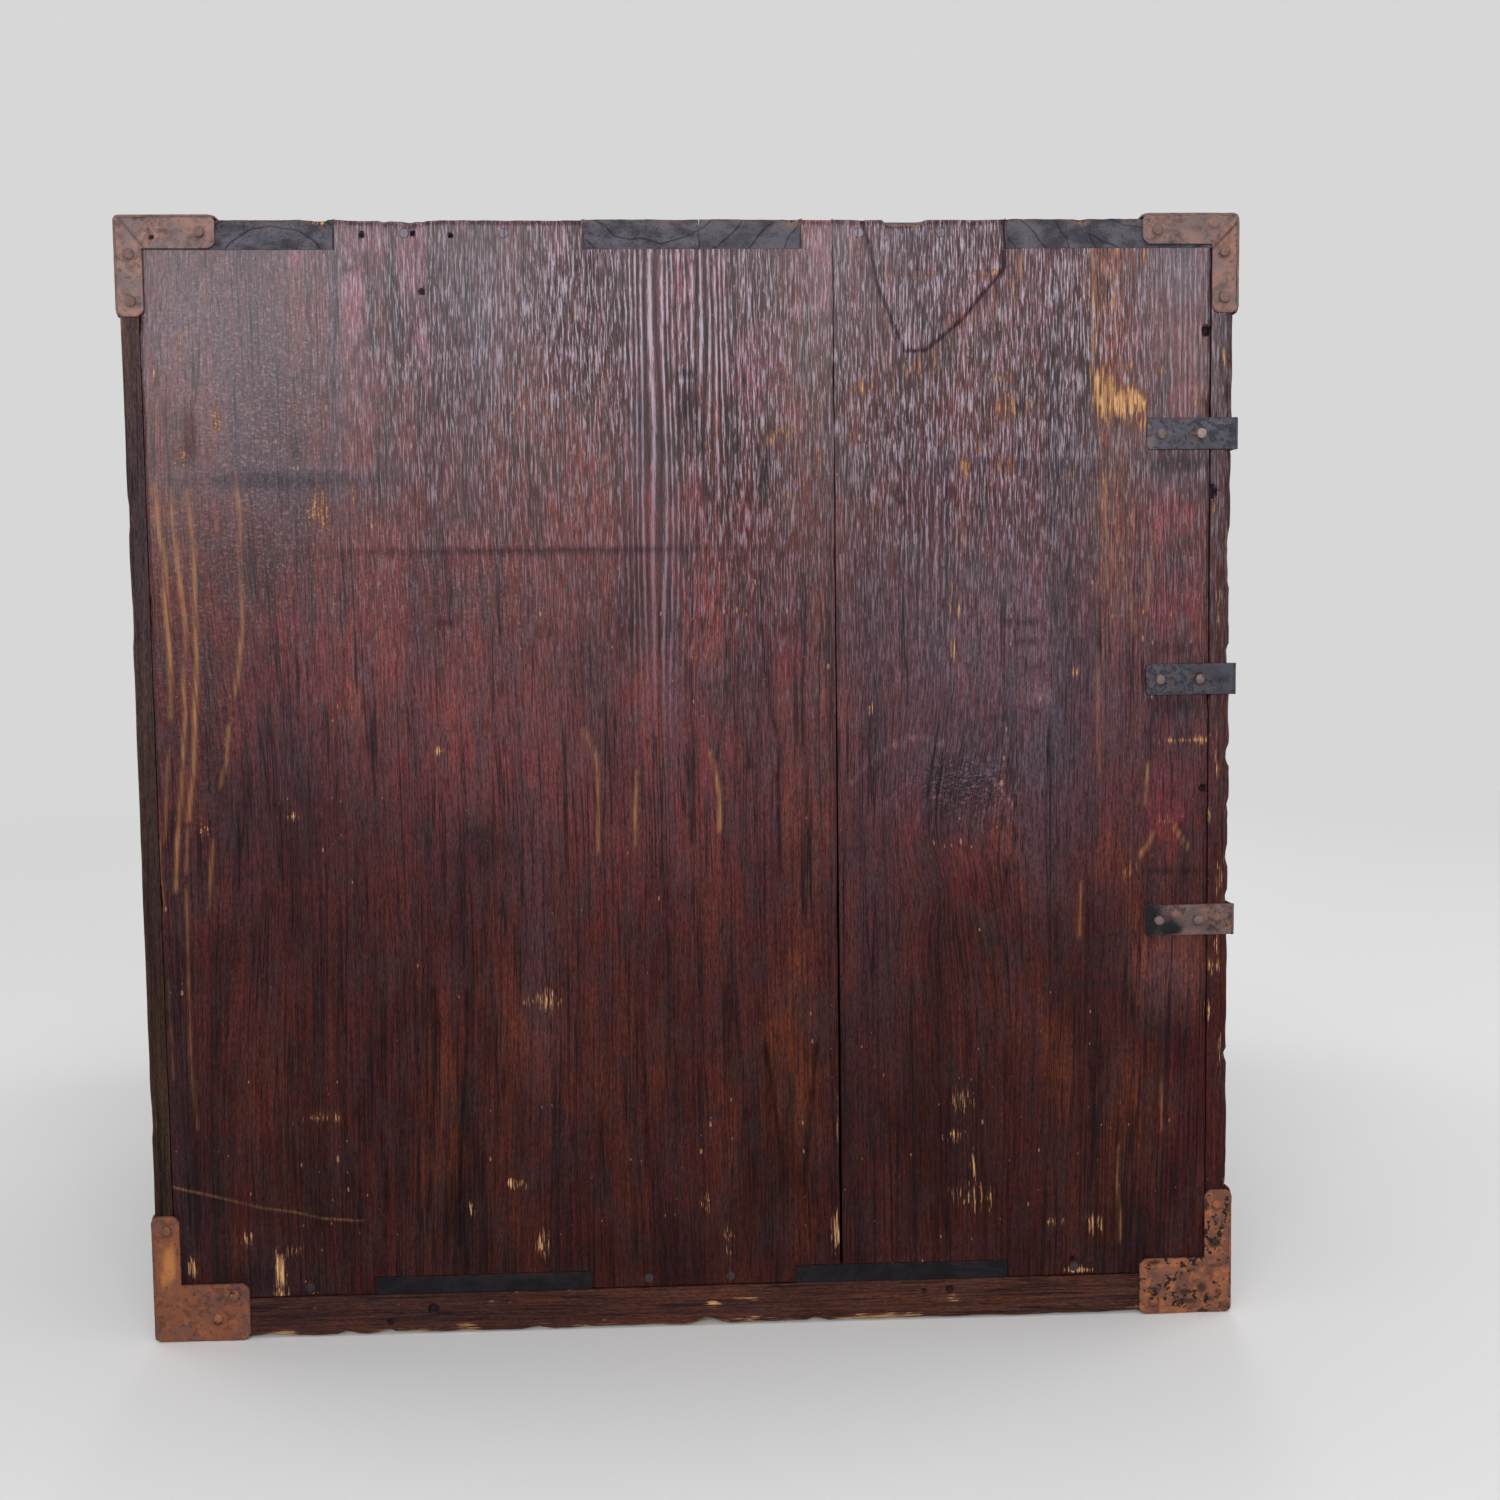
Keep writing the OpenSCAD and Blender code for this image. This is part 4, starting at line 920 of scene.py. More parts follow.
leftRear = {
    "seed": 3, "warp": 5, "polish": (165, 430, 0.02, 1.0), "warmth": 0.3, "wear": 0.5, "rough": 0.3,
    "bright": paintedSheenByHeight, "bareGain": 1.2, "fine": [(57, 9)],
    "swirls": [(12, 330, 22, 110, 5), (40, 210, 24, 90, -7)],
    "zones": [
        (180, 410, 60, 75, 0.6), (150, 300, 120, 60, 0.2), (250, 380, 40, 90, 0.6),
        (110, 400, 30, 60, 0.2)],
    "pebble": [(45, 370, 38, 85, 0.9), (20, 250, 24, 80, 0.6), (130, 300, 50, 35, 0.35)],
    "slate": [
        (150, 425, 40, 30, 0.3), (20, 415, 18, 30, 0.4), (204, 380, 5, 40, 0.6), (60, 352, 50, 7, 0.6),
        (84, 405, 4, 40, 0.5), (140, 380, 14, 50, 0.3), (48, 395, 36, 50, 0.5), (180, 445, 300, 45, 0.3),
        (140, 240, 400, 80, 0.2), (45, 22, 14, 16, 0.5), (10, 90, 8, 70, 0.22), (16, 45, 10, 14, 0.25),
        (160, 150, 8, 60, 0.35), (215, 290, 4, 70, 0.4)],
    "stripes": [(210, 400, 11, 120, 1.0), (234, 410, 9, 60, 0.9), (210, 280, 11, 60, 0.7)],
    "shades": [
        (25, 270, 20, 90, -0.35), (75, 215, 40, 55, -0.3), (243, 300, 7, 90, -0.3),
        (190, 260, 12, 60, -0.15), (40, 25, 14, 10, -0.45), (20, 60, 12, 80, -0.25),
        (141, 340, 30, 12, -0.2), (265, 60, 14, 14, -0.35), (138, 205, 8, 12, -0.4),
        (202, 330, 5, 50, -0.25), (270, 300, 5, 20, -0.3), (190, 30, 50, 14, -0.3)],
    "bare": [
        (259.3, 368.6, 6.5, 4.5, 0.5), (277.8, 360.2, 1.9, 3.2, 0.4), (264.8, 343.1, 1.9, 5.2, 0.5),
        (12.6, 393.1, 2.3, 6.5, 0.7), (36.2, 375.5, 1.9, 5.8, 0.6), (21.3, 360.6, 3.9, 6.5, 0.6),
        (67.6, 380.3, 1.6, 7.8, 0.5), (67.6, 360.3, 3.2, 7.8, 0.6), (79.1, 385.3, 4.5, 2.3, 0.35),
        (76.4, 340.1, 7.8, 10.4, 0.5), (90.2, 345.1, 1.9, 5.8, 0.5), (22.4, 405.4, 3.9, 7.8, 0.35),
        (153.2, 378.6, 2.6, 3.9, 0.4), (4.9, 370.7, 1.6, 7.8, 0.4), (127.7, 416.3, 2.6, 1.9, 0.5),
        (26.5, 212.1, 3.4, 2.9, 0.6), (60.4, 216.4, 5.8, 1, 0.7), (121.2, 242.9, 2.9, 1.6, 0.7),
        (81.5, 302.3, 1.6, 2.9, 0.7), (78.8, 255.1, 1.8, 1.6, 0.6), (16.4, 246.3, 2.6, 1, 0.5),
        (14.8, 31.6, 1.6, 5.4, 0.7), (50.7, 29.3, 3.6, 9.7, 0.65), (56.7, 37.2, 3.2, 3.2, 0.5),
        (52, 19.2, 5.4, 2.6, 0.5), (69.2, 92.9, 8, 1.9, 0.45), (37.8, 42.4, 2.6, 3.2, 0.5),
        (149, 63, 7.1, 2.6, 0.6), (129.8, 52.7, 1.8, 4.1, 0.55), (158.9, 37.2, 3.6, 6.5, 0.4),
        (161.2, 139.9, 7.8, 5.2, 0.5), (57.5, 90.5, 1, 1.8, 0.6), (71.5, 104.1, 0.8, 1.6, 0.8),
        (281, 39.3, 2.3, 10.4, 0.85), (282.3, 85.2, 1, 14.3, 0.5), (226.6, 51.8, 2.3, 6.4, 0.45),
        (236.6, 37.1, 2.7, 5.5, 0.4)],
    "stain": [
        (64.9, 352, 43.4, 4.3, 0.45), (166, 322.8, 98, 1.2, 0.6), (26, 370, 3.4, 13.8, 0.5),
        (204.9, 378.9, 3.5, 27.8, 0.3), (223, 378.4, 3.0, 9.5, 0.5, 12), (223, 393.5, 5.8, 1.1, 0.6),
        (125, 295.5, 7, 1.4, 0.8), (262, 291, 3, 4, 0.4)],
    "warm": [
        (262, 96, 14, 70, 0.8), (82.4, 290.8, 6.5, 7.8, 0.6), (87.3, 262.7, 4.5, 10.4, 0.9),
        (123.5, 259.6, 6.5, 13, 0.4), (59.5, 188.2, 7.8, 7.8, 0.4), (269.8, 216.1, 11.7, 54.4, 0.5),
        (232.9, 277.6, 5.2, 10.4, 0.6), (208.1, 262.4, 7.8, 64.8, 0.4), (278.3, 281, 3.9, 33.7, 0.6),
        (120.4, 91.7, 7.8, 33.7, 0.6), (110.9, 76, 7.8, 11.7, 0.5), (158.8, 117.5, 15.5, 33.7, 0.4),
        (69.9, 92.9, 9.1, 3.9, 0.5), (185.7, 105.9, 4.6, 18.3, 0.6), (208.1, 119.5, 7.3, 27.5, 0.5),
        (236.4, 85.8, 3.7, 23.8, 0.5), (30, 380, 12, 50, 0.4), (22, 280, 16, 70, 0.4)],
    "crimson": [
        (150, 280, 180, 130, 0.35), (104.8, 228.9, 5.8, 38.9, 0.7), (126.2, 310.8, 5.2, 7.8, 0.7),
        (121, 259.7, 5.2, 15.5, 0.4), (53.6, 298.8, 10.4, 15.5, 0.4), (228.9, 307.2, 5.8, 14.3, 0.8),
        (229.1, 242.7, 5.8, 33.7, 0.7), (211.2, 288.2, 10.4, 28.5, 0.6), (265.3, 278.5, 7.8, 20.7, 0.6),
        (207.1, 346.7, 11.7, 28.5, 0.7), (225, 349.2, 6.5, 23.3, 0.8), (248, 338.8, 7.8, 20.7, 0.5),
        (271.2, 343.7, 7.8, 15.5, 0.6), (227.6, 119.1, 5.5, 25.7, 0.5)],
    "pink": [
        (90.9, 422.6, 5.8, 24.6, 0.8), (99.6, 444.8, 5.2, 11.7, 0.5), (115.7, 437.4, 6.5, 18.1, 0.7),
        (118.4, 400.1, 4.5, 15.5, 0.6), (70.8, 439.9, 5.2, 6.5, 0.6), (173.7, 446, 5.8, 10.4, 0.5),
        (94.3, 390.2, 3.9, 18.1, 0.4), (221.1, 422.2, 13, 28.5, 0.4), (237.5, 415.9, 9.1, 33.7, 0.3),
        (277.4, 437.1, 6.5, 23.3, 0.5), (250, 397.1, 11.7, 20.7, 0.45), (209.2, 397.2, 7.8, 31.1, 0.5)],
    "holes": [
        (95.8, 448.3, 1.1, 2), (115.8, 448.8, 1.0, 2), (130.8, 447.9, 0.9, 2), (118.9, 426.0, 1.3, 1.5),
        (87.8, 107.1, 1.2, 0.5)],
    "seams": [
        ([(35.8, 433.2), (37.6, 430.7), (41.9, 429.2), (47.5, 431.1), (49.8, 436.2)], 0.7, 0.5),
        ([(105.8, 442.3), (107.9, 428.7), (110, 412.6), (114.7, 400.1), (117.5, 390.1), (118.5, 378.8),
          (115.6, 367.6), (114.7, 355)], 0.8, 0.8),
        ([(96.9, 440), (98.6, 407.6), (104.4, 392.7), (106.7, 385.1), (105.1, 373.9),
          (103, 365.1)], 0.8, 0.8),
        ([(73.4, 442.4), (74.8, 428.8), (73.6, 410.2), (70.5, 390.3)], 0.6, 0.5),
        ([(85.4, 443), (84.5, 420), (83, 385)], 0.8, 0.6), ([(100.3, 380.2), (99.9, 347.5)], 0.7, 0.7),
        ([(122.9, 451), (122.8, 422.5), (124.8, 403.8), (128.1, 385), (128.8, 365)], 0.8, 0.6),
        ([(136, 448), (136.5, 420), (140, 385), (141, 350)], 0.7, 0.5),
        ([(160, 450.9), (158.7, 407.4), (154.8, 389.9), (153.7, 373.6)], 0.8, 0.7),
        ([(143.9, 386.2), (149.5, 379.9), (151.2, 373.6)], 0.8, 0.8),
        ([(185.2, 452.2), (183.8, 384.8), (183.1, 321.5)], 0.9, 0.7),
        ([(227.8, 442.2), (230, 422.2), (231.6, 404.7), (233.2, 379.5)], 0.6, 0.6),
        ([(232.2, 442.2), (235.3, 417.2), (236.7, 399.6), (238.8, 371.9)], 0.7, 0.7),
        ([(242.4, 443.4), (242.3, 409.7), (242.3, 371.9), (242.9, 346.5)], 0.8, 0.7),
        ([(225.2, 394.6), (226.8, 379.5), (228.5, 364.3), (231.4, 346.6), (232.4, 326.2)], 1.0, 0.8),
        ([(221.9, 392.1), (221.2, 379.6), (220.1, 364.4), (221.4, 346.6), (221.3, 326.3)], 0.9, 0.7),
        ([(273, 443.4), (272.2, 427.1), (272.7, 407), (274.2, 384.3), (274.4, 379.3)], 0.9, 0.7),
        ([(254.7, 359.1), (253.5, 346.4), (252.4, 333.7)], 0.9, 0.5),
        ([(258.5, 360.4), (261, 354), (262.2, 341.3), (263.9, 323.4)], 0.7, 0.5),
        ([(222.6, 320.1), (223.8, 307.3), (224.9, 294.4), (223.4, 286.5), (222.3, 277.8), (223.9, 266.1),
          (224, 237.6), (222.7, 203.7)], 1.0, 0.65),
        ([(231, 320), (232.8, 305.9), (237.7, 295.6), (238.4, 281.4), (238.5, 259.5), (235.9, 250.4),
          (233.9, 237.5)], 0.9, 0.6),
        ([(252.5, 312.1), (252.8, 294.2), (254.8, 270.9), (257.2, 252.7), (259.7, 242.3), (258.5, 229.3),
          (259.2, 203.1), (259.8, 190)], 1.0, 0.8),
        ([(269.6, 312), (270.7, 294), (269.3, 268.2), (269.6, 247.4), (270.4, 221.3),
          (270.3, 189.8)], 0.9, 0.6),
        ([(116.6, 144.8), (117.1, 131.6), (115.9, 114.4), (113.9, 91.9), (112.7, 70.6),
          (111.8, 51.9)], 1.0, 0.7),
        ([(129.6, 144.5), (129.8, 124.7), (128, 104.9), (126, 78.3), (124.2, 38.1)], 0.9, 0.7),
        ([(109.5, 144.9), (108.6, 131.8), (109, 110.6)], 0.8, 0.5),
        ([(95.1, 71), (94.1, 52.3), (93, 28.1)], 0.8, 0.5),
        ([(252.4, 118.1), (255.4, 95.3), (257.2, 79.1), (259.1, 61.6)], 1.2, 0.8),
        ([(273.8, 119), (271.3, 97.6), (269.9, 77.5), (267.3, 60)], 1.2, 0.8),
        ([(244, 93.2), (243.3, 76.1)], 1.2, 0.6),
        ([(202.5, 143.1), (201.8, 119.6), (202.1, 96.1), (202.2, 67.6)], 0.9, 0.6)],
    "threads": [
        ([(10.9, 350.7), (11.6, 335.6), (14.2, 321.9), (14.1, 301.7), (14.7, 284), (14.3, 257.2)], 1, 0.8),
        ([(17.8, 350.6), (17.9, 335.6), (19.6, 314.3), (21.3, 296.6), (19.9, 271.2), (20.1, 258.4),
          (18, 237.9), (16.7, 219.9), (14.9, 207.1), (13.6, 187.7)], 0.8, 0.7),
        ([(23.3, 348.1), (26.1, 321.8), (25.5, 305.4), (25.4, 283.8), (23.5, 250.7), (22.3, 235.3),
          (19.7, 216)], 0.9, 0.75),
        ([(43.6, 354.2), (44.3, 340.4), (44.3, 296.3), (42.3, 281.1), (40.5, 267.1)], 0.9, 0.7),
        ([(36.9, 253.1), (35.8, 240.2), (32.9, 230)], 0.8, 0.7), ([(19.6, 213.5), (18, 194.1)], 0.6, 0.5),
        ([(7.3, 207.2), (6.8, 194.3), (7.9, 181.3)], 0.8, 0.6), ([(8.6, 150), (10, 110)], 0.6, 0.3),
        ([(29.2, 208.1), (27.9, 193.9), (26.4, 179.9)], 0.7, 0.6),
        ([(18, 190), (17, 120), (19, 90)], 0.6, 0.35),
        ([(12.5, 243.1), (11.2, 225.2), (9.9, 207.2)], 0.6, 0.5),
        ([(231.1, 240.8), (233.5, 231), (234.7, 221.8), (234.5, 208.8)], 0.7, 1),
        ([(200.9, 234), (200.5, 224.9), (200.1, 217.1), (200.1, 204.1)], 0.6, 0.8),
        ([(179.8, 251.2), (184.1, 240.8), (185.2, 230.4), (184.7, 200.4)], 0.6, 0.7),
        ([(2, 66.5), (27.5, 60), (42.8, 55.6), (57, 53.3), (68.6, 50.3), (85.4, 48.8)], 0.4, 0.4)],
    "scratches": [
        ([(8, 193.6), (72, 193.6)], 0.6, 0.4), ([(85, 433.7), (96.9, 436.2)], 0.7, 0.6),
        ([(103.7, 413.2), (137.5, 405.6)], 0.6, 0.4), ([(109.3, 409.5), (111.8, 409.5)], 0.9, 0.7),
        ([(244.9, 192.2), (259.7, 194.6)], 0.7, 0.7), ([(191.3, 193.1), (222.5, 192.6)], 0.7, 0.5),
        ([(131.2, 209.1), (139.6, 209.6)], 0.7, 0.7), ([(260.8, 415.6), (264.4, 417.7)], 0.9, 0.7),
        ([(226.2, 90.3), (233.7, 90.1)], 0.8, 0.5), ([(60, 285), (110, 286)], 0.6, 0.3)],
}
leftFront = {
    "seed": 7, "warp": 4, "polish": (165, 430, 0.02, 1.0), "warmth": 0.25, "wear": 0.5, "rough": 0.4,
    "bright": paintedSheenByHeight, "bareGain": 1.2, "shine": [(333, 227, 30, 17, 0.14), (352, 212, 10, 14, 0.1)],
    "swirls": [(332.6, 200.8, 24, 44, 9), (321, 182, 12, 17, -6)],
    "zones": [
        (335, 400, 60, 90, 0.7), (400, 400, 40, 80, 0.3), (330, 222, 24, 17, 0.7), (360, 225, 50, 30, 0.2)],
    "pebble": [(333, 226, 20, 12, 1.0)],
    "slate": [
        (345, 360, 50, 12, 0.35), (376, 350, 6, 40, 0.5), (425, 435, 14, 16, 0.7), (310, 425, 25, 20, 0.2),
        (330, 445, 200, 45, 0.3), (333, 229, 28, 15, 0.45), (421, 146, 15, 17, 0.45),
        (425, 352, 14, 9, 0.5), (345, 290, 55, 55, 0.5), (372, 235, 14, 50, 0.5), (345, 240, 300, 70, 0.2),
        (298, 160, 14, 60, 0.3)],
    "stripes": [(425, 400, 12, 60, 0.6), (320, 320, 14, 30, 0.5)],
    "shades": [
        (380, 300, 7, 60, -0.45), (333, 222, 16, 12, -0.3), (350, 235, 40, 30, -0.25),
        (442, 300, 6, 200, -0.3), (425, 259, 15, 8, -0.4), (425, 356, 14, 6, -0.4), (422, 150, 16, 16, 0.3),
        (342, 60, 26, 30, -0.25), (424, 115, 12, 14, -0.35), (320, 105, 10, 50, -0.2),
        (300, 110, 16, 60, -0.15), (300, 250, 10, 40, -0.25), (385, 110, 6, 60, -0.2)],
    "bare": [
        (315.5, 395.5, 14.3, 5.8, 0.4), (297.4, 386.8, 9.1, 3.9, 0.36), (352.4, 390.9, 5.8, 2.6, 0.45),
        (355.6, 378.9, 9.7, 5.2, 0.45), (343.2, 377.7, 1.9, 6.5, 0.45), (288.9, 365.9, 3.9, 2.6, 0.35),
        (336.4, 355.4, 1.9, 4.5, 0.9), (352.3, 355.9, 5.8, 3.9, 0.45), (342.3, 363, 1.6, 2.6, 0.5),
        (345.4, 432.6, 7.8, 1.6, 0.6), (315.8, 432.7, 14.3, 1.3, 0.4), (335.9, 327.9, 5.2, 7.8, 0.35),
        (331.7, 412.5, 5.8, 5.2, 0.35), (393.6, 384.5, 6.6, 12, 1), (398, 380.5, 7, 9, 0.9),
        (405.5, 380.3, 7.6, 6.8, 1), (408.5, 372, 4.2, 4, 0.6), (404, 394.5, 3, 3, 0.5),
        (391, 436, 3.2, 16, 0.42), (397, 441, 8, 6, 0.4), (404, 432, 4, 10, 0.32), (409, 440, 3, 6, 0.4),
        (392, 418, 2, 10, 0.3), (394.3, 422.4, 2.8, 2.3, 0.4), (395.3, 395.8, 5.6, 1.7, 0.55),
        (417, 393.9, 2.8, 2.3, 0.65), (406.6, 371.4, 4.2, 2.6, 0.6), (393.9, 366.8, 2.8, 1.4, 0.45),
        (415.1, 378.3, 1.9, 1.9, 0.45), (431.2, 380, 2.8, 1.4, 0.45), (391.6, 350.2, 2.3, 2.8, 0.5),
        (379.3, 352.6, 2.8, 3.3, 0.45), (427.7, 243.3, 13.7, 1.5, 0.8), (419.6, 210.2, 3.2, 1.7, 0.9),
        (404.4, 188.8, 3.4, 4, 0.5), (397.1, 294.4, 1.7, 0.9, 0.6), (381.8, 272.2, 1.7, 1.7, 0.6),
        (331.7, 78.7, 5.2, 2.6, 0.5), (338.6, 65, 1.3, 7.1, 0.75), (334.4, 93.5, 7.8, 5.2, 0.4),
        (339.6, 52.8, 10.4, 7.8, 0.35), (390, 37.8, 3.9, 4.9, 0.65), (372.5, 40.4, 4.9, 1.9, 0.4),
        (383.9, 19.5, 6.7, 1.6, 0.85), (330.7, 280.4, 2.9, 5.8, 0.55), (331.2, 302.4, 7.8, 9.1, 0.4),
        (297.6, 256.8, 1.3, 2.9, 0.7), (397, 331, 9, 40, 0.28)],
    "stain": [
        (424.1, 356.6, 11, 4.1, 0.5), (390.5, 140.8, 25.9, 1.6, 0.6), (424.3, 257, 13, 4.6, 0.4),
        (347, 356, 44, 2.6, 0.3), (425, 281, 14, 3, 0.4)],
    "warm": [
        (334, 192.7, 6.5, 5.9, 0.8), (348.5, 201.7, 9.1, 15.5, 0.4), (374.5, 112.8, 7.8, 25.9, 0.5),
        (406.8, 81, 15.5, 38.9, 0.6), (400.1, 63.5, 2.6, 15.5, 0.4), (396.2, 190.1, 9.2, 22.9, 0.4),
        (407.7, 252.8, 4.6, 6.9, 0.5), (397, 400, 10, 65, 0.8), (397, 310, 8, 50, 0.4),
        (421, 148, 18, 20, 0.85), (406, 172, 3.5, 10, 0.8)],
    "crimson": [
        (380, 285, 120, 110, 0.15), (423.1, 218.9, 13.7, 25.2, 0.8), (365.9, 305.9, 5.2, 18, 0.5),
        (309.1, 215.5, 7.8, 32.4, 0.5), (335.3, 190, 15.5, 16.3, 0.7), (421.9, 335.3, 12.2, 15, 0.9),
        (423.6, 383.8, 11.2, 5.6, 0.3), (424, 300, 12, 14, 0.6), (430, 90, 12, 50, 0.5)],
    "pink": [(314.3, 405.6, 6.5, 6.5, 0.5), (425, 400, 10, 40, 0.25), (345, 420, 30, 14, 0.2)],
    "holes": [(435.5, 409.4, 2.2, 3), (435, 222.8, 1.6, 2.5), (380.6, 24.4, 1.2, 2)],
    "seams": [
        ([(387.9, 443.2), (387.7, 409.2), (386.8, 383.8), (384.2, 377.4), (379, 366), (375.1, 354.5),
          (372.2, 339.1), (371.1, 319.9)], 0.8, 0.6),
        ([(387.7, 381.2), (387.6, 345.4), (387.8, 318.7), (386.7, 286.3), (386.4, 261.5)], 0.7, 0.55),
        ([(353.7, 238.4), (356.8, 214.7), (356.7, 201.6), (352.7, 188.4), (350.8, 176.5)], 0.9, 0.5),
        ([(300.5, 440), (303, 424), (309, 405)], 0.9, 0.5), ([(411.5, 345), (411.5, 300)], 0.5, 0.5),
        ([(288, 443), (287, 400), (288, 340)], 0.7, 0.4),
        ([(410.3, 187.5), (423, 189.1), (437.4, 187.3)], 0.9, 0.6)],
    "rims": [
        ([(288.2, 226.3), (296.1, 235.3), (305.4, 242.3), (315.9, 246), (327.6, 242.4), (339.4, 236),
          (348.6, 226.7), (356.8, 214.7), (357.5, 205.5)], 0.65, 0.65),
        ([(315, 207.5), (317, 215.3), (320.3, 220.3), (325.2, 221.3), (330.4, 217.8),
          (333.8, 213.5)], 0.6, 0.5), ([(295.9, 211.7), (302.5, 218.2), (313.1, 228.5)], 0.6, 0.3)],
    "threads": [
        ([(400.1, 73), (399.4, 58.1), (400.8, 44.4), (400.8, 32.1)], 0.5, 0.6),
        ([(417.8, 99.7), (418.6, 79.4)], 0.5, 0.5),
        ([(388.4, 443.4), (388.7, 425.2), (388.5, 392.2)], 0.7, 0.8),
        ([(397.1, 440.6), (397.3, 417.8)], 0.6, 0.6),
        ([(393.5, 349.7), (393.7, 333), (395.9, 318)], 0.7, 0.7),
        ([(394.2, 317.3), (394.8, 307.1)], 0.8, 0.6), ([(404.3, 302.4), (405.5, 287.5)], 0.7, 0.7),
        ([(411.6, 317.2), (411.5, 306.9), (410.9, 296.6)], 0.7, 0.7),
        ([(411.9, 233.1), (410.4, 215.6)], 0.6, 0.7),
        ([(422.6, 207.3), (425.5, 203.1), (429.3, 197.8)], 0.6, 0.9),
        ([(383.8, 184.5), (383.3, 162.2)], 0.6, 0.6),
        ([(414.9, 205.6), (412, 199.8), (408.1, 194.6)], 0.8, 0.7),
        ([(391, 280), (391.5, 230)], 0.6, 0.35)],
    "scratches": [
        ([(325.6, 340.8), (336, 349.4)], 0.6, 0.5), ([(305.4, 339), (313.9, 343.2)], 0.8, 0.7),
        ([(352.7, 291.8), (365.8, 292.3)], 0.9, 0.5), ([(347.4, 252.9), (365.8, 255.3)], 1.2, 0.6),
        ([(357.9, 272.9), (368.5, 273.5)], 1.3, 0.5), ([(358, 284.2), (367.2, 284.1)], 0.9, 0.5)],
    "flakes": [
        ([(295.2, 456), (302.2, 426.1), (312.1, 402.3), (320.2, 402.3), (334.5, 414.1), (352.1, 434.7),
          (352.1, 456)], 0.5, 9)],
}


def scattered(seed, low, high, count, size, strength):
    # A few seeded patches over a board, for the faces that the photograph doesn't show.
    rng = np.random.default_rng(seed)
    spots = []
    for _ in range(count):
        place = [rng.uniform(low[0], high[0]), rng.uniform(low[1], high[1])]
        half = [rng.uniform(0.5, 1) * size[0], rng.uniform(0.5, 1) * size[1]]
        turn = rng.uniform(-8, 8)
        spots.append((*place, *half, rng.uniform(0.6, 1) * strength, turn))
    return spots


noLines = {
    "threads": (), "scratches": (), "seams": (), "rims": (), "holes": (), "flakes": (), "shades": (),
    "shine": (), "zones": [(180, 410, 160, 75, 0.4)],
}
rightRear = {
    **leftRear, **noLines, "seed": 113, "swirls": [(150, 300, 30, 90, 7)],
    "pebble": [(80, 300, 50, 80, 0.6)], "slate": [(150, 390, 60, 30, 0.5)],
    "stripes": [(190, 300, 16, 200, 0.8)], "bare": scattered(113, (12, 30), (275, 430), 9, (5, 12), 0.6),
    "stain": scattered(114, (12, 30), (275, 430), 6, (26, 4), 0.5),
    "warm": scattered(115, (12, 30), (275, 430), 5, (16, 70), 0.7),
    "crimson": scattered(117, (12, 30), (275, 430), 6, (14, 60), 0.7),
    "pink": scattered(116, (30, 320), (275, 430), 3, (12, 50), 0.5),
}
rightFront = {
    **leftFront, **noLines, "seed": 131, "swirls": [(375, 250, 22, 60, -8)], "pebble": (),
    "slate": [(360, 380, 40, 30, 0.4)], "stripes": [(400, 300, 12, 200, 0.6)],
    "bare": scattered(131, (290, 30), (430, 430), 8, (6, 11), 0.65),
    "stain": scattered(132, (290, 30), (430, 430), 5, (18, 5), 0.5),
    "warm": scattered(133, (290, 30), (430, 430), 4, (14, 60), 0.8),
    "crimson": scattered(135, (290, 30), (430, 430), 4, (12, 60), 0.7),
    "pink": scattered(134, (290, 320), (430, 430), 2, (9, 40), 0.4),
}


leftStile = {
    "bare": [
        (437, 262, 1.5, 6, 0.5), (441, 236, 1.4, 10, 0.6), (438, 338, 2.4, 5, 0.55),
        (442, 398, 1.4, 9, 0.5), (437, 212, 2.6, 3, 0.6), (441, 300, 1.2, 12, 0.45), (441, 160, 2, 9, 0.5),
        (440, 148, 3, 5, 0.6), (442, 186, 2, 8, 0.5), (437.6, 132, 0.8, 8, 0.6), (443, 112, 1.0, 12, 0.45)],
    "holes": [(437.1, 344.7, 3.0, 3)], "seams": [], "wear": 0.4, "bareEdge": 0.55,
}
leftRail = {
    "bare": [
        (0.8, 51, 2.4, 7, 0.9), (0.8, 105, 2.2, 6, 0.8), (1.4, 127, 2.8, 7, 0.9), (0.8, 241, 2.4, 26, 0.8),
        (1, 304, 2.6, 24, 0.75), (1.6, 409, 2.4, 6, 0.9), (9.6, 229, 2.2, 4.5, 0.9), (11, 243, 1.5, 7, 0.7),
        (9, 331, 2, 3, 0.5)],
    "stain": [(8, 240, 2.4, 8, 0.6), (7, 60, 5, 12, 0.35)],
    "holes": [
        (10.7, 113, 2.2, 1.8), (5.4, 95.2, 1.5, 1.4), (12.8, 328.7, 1.7, 2), (12.4, 317.9, 1.1, 1.4)],
    "scratches": [([(12.6, 300), (12.4, 420)], 0.4, 0.5)],
}
stileEdge = {"gap": 0.3, "round": 1.5, "chips": 0.8}
railEdge = {"gap": 0.2, "round": 1.3, "chips": 0.6}


def railNotch(a, b):
    # The left rail has lost a splinter from its lower edge.
    return a + 2.0 * np.exp(-((b - 225) / 2.6) ** 2) * np.clip(1 - a / 7, 0, 1), b


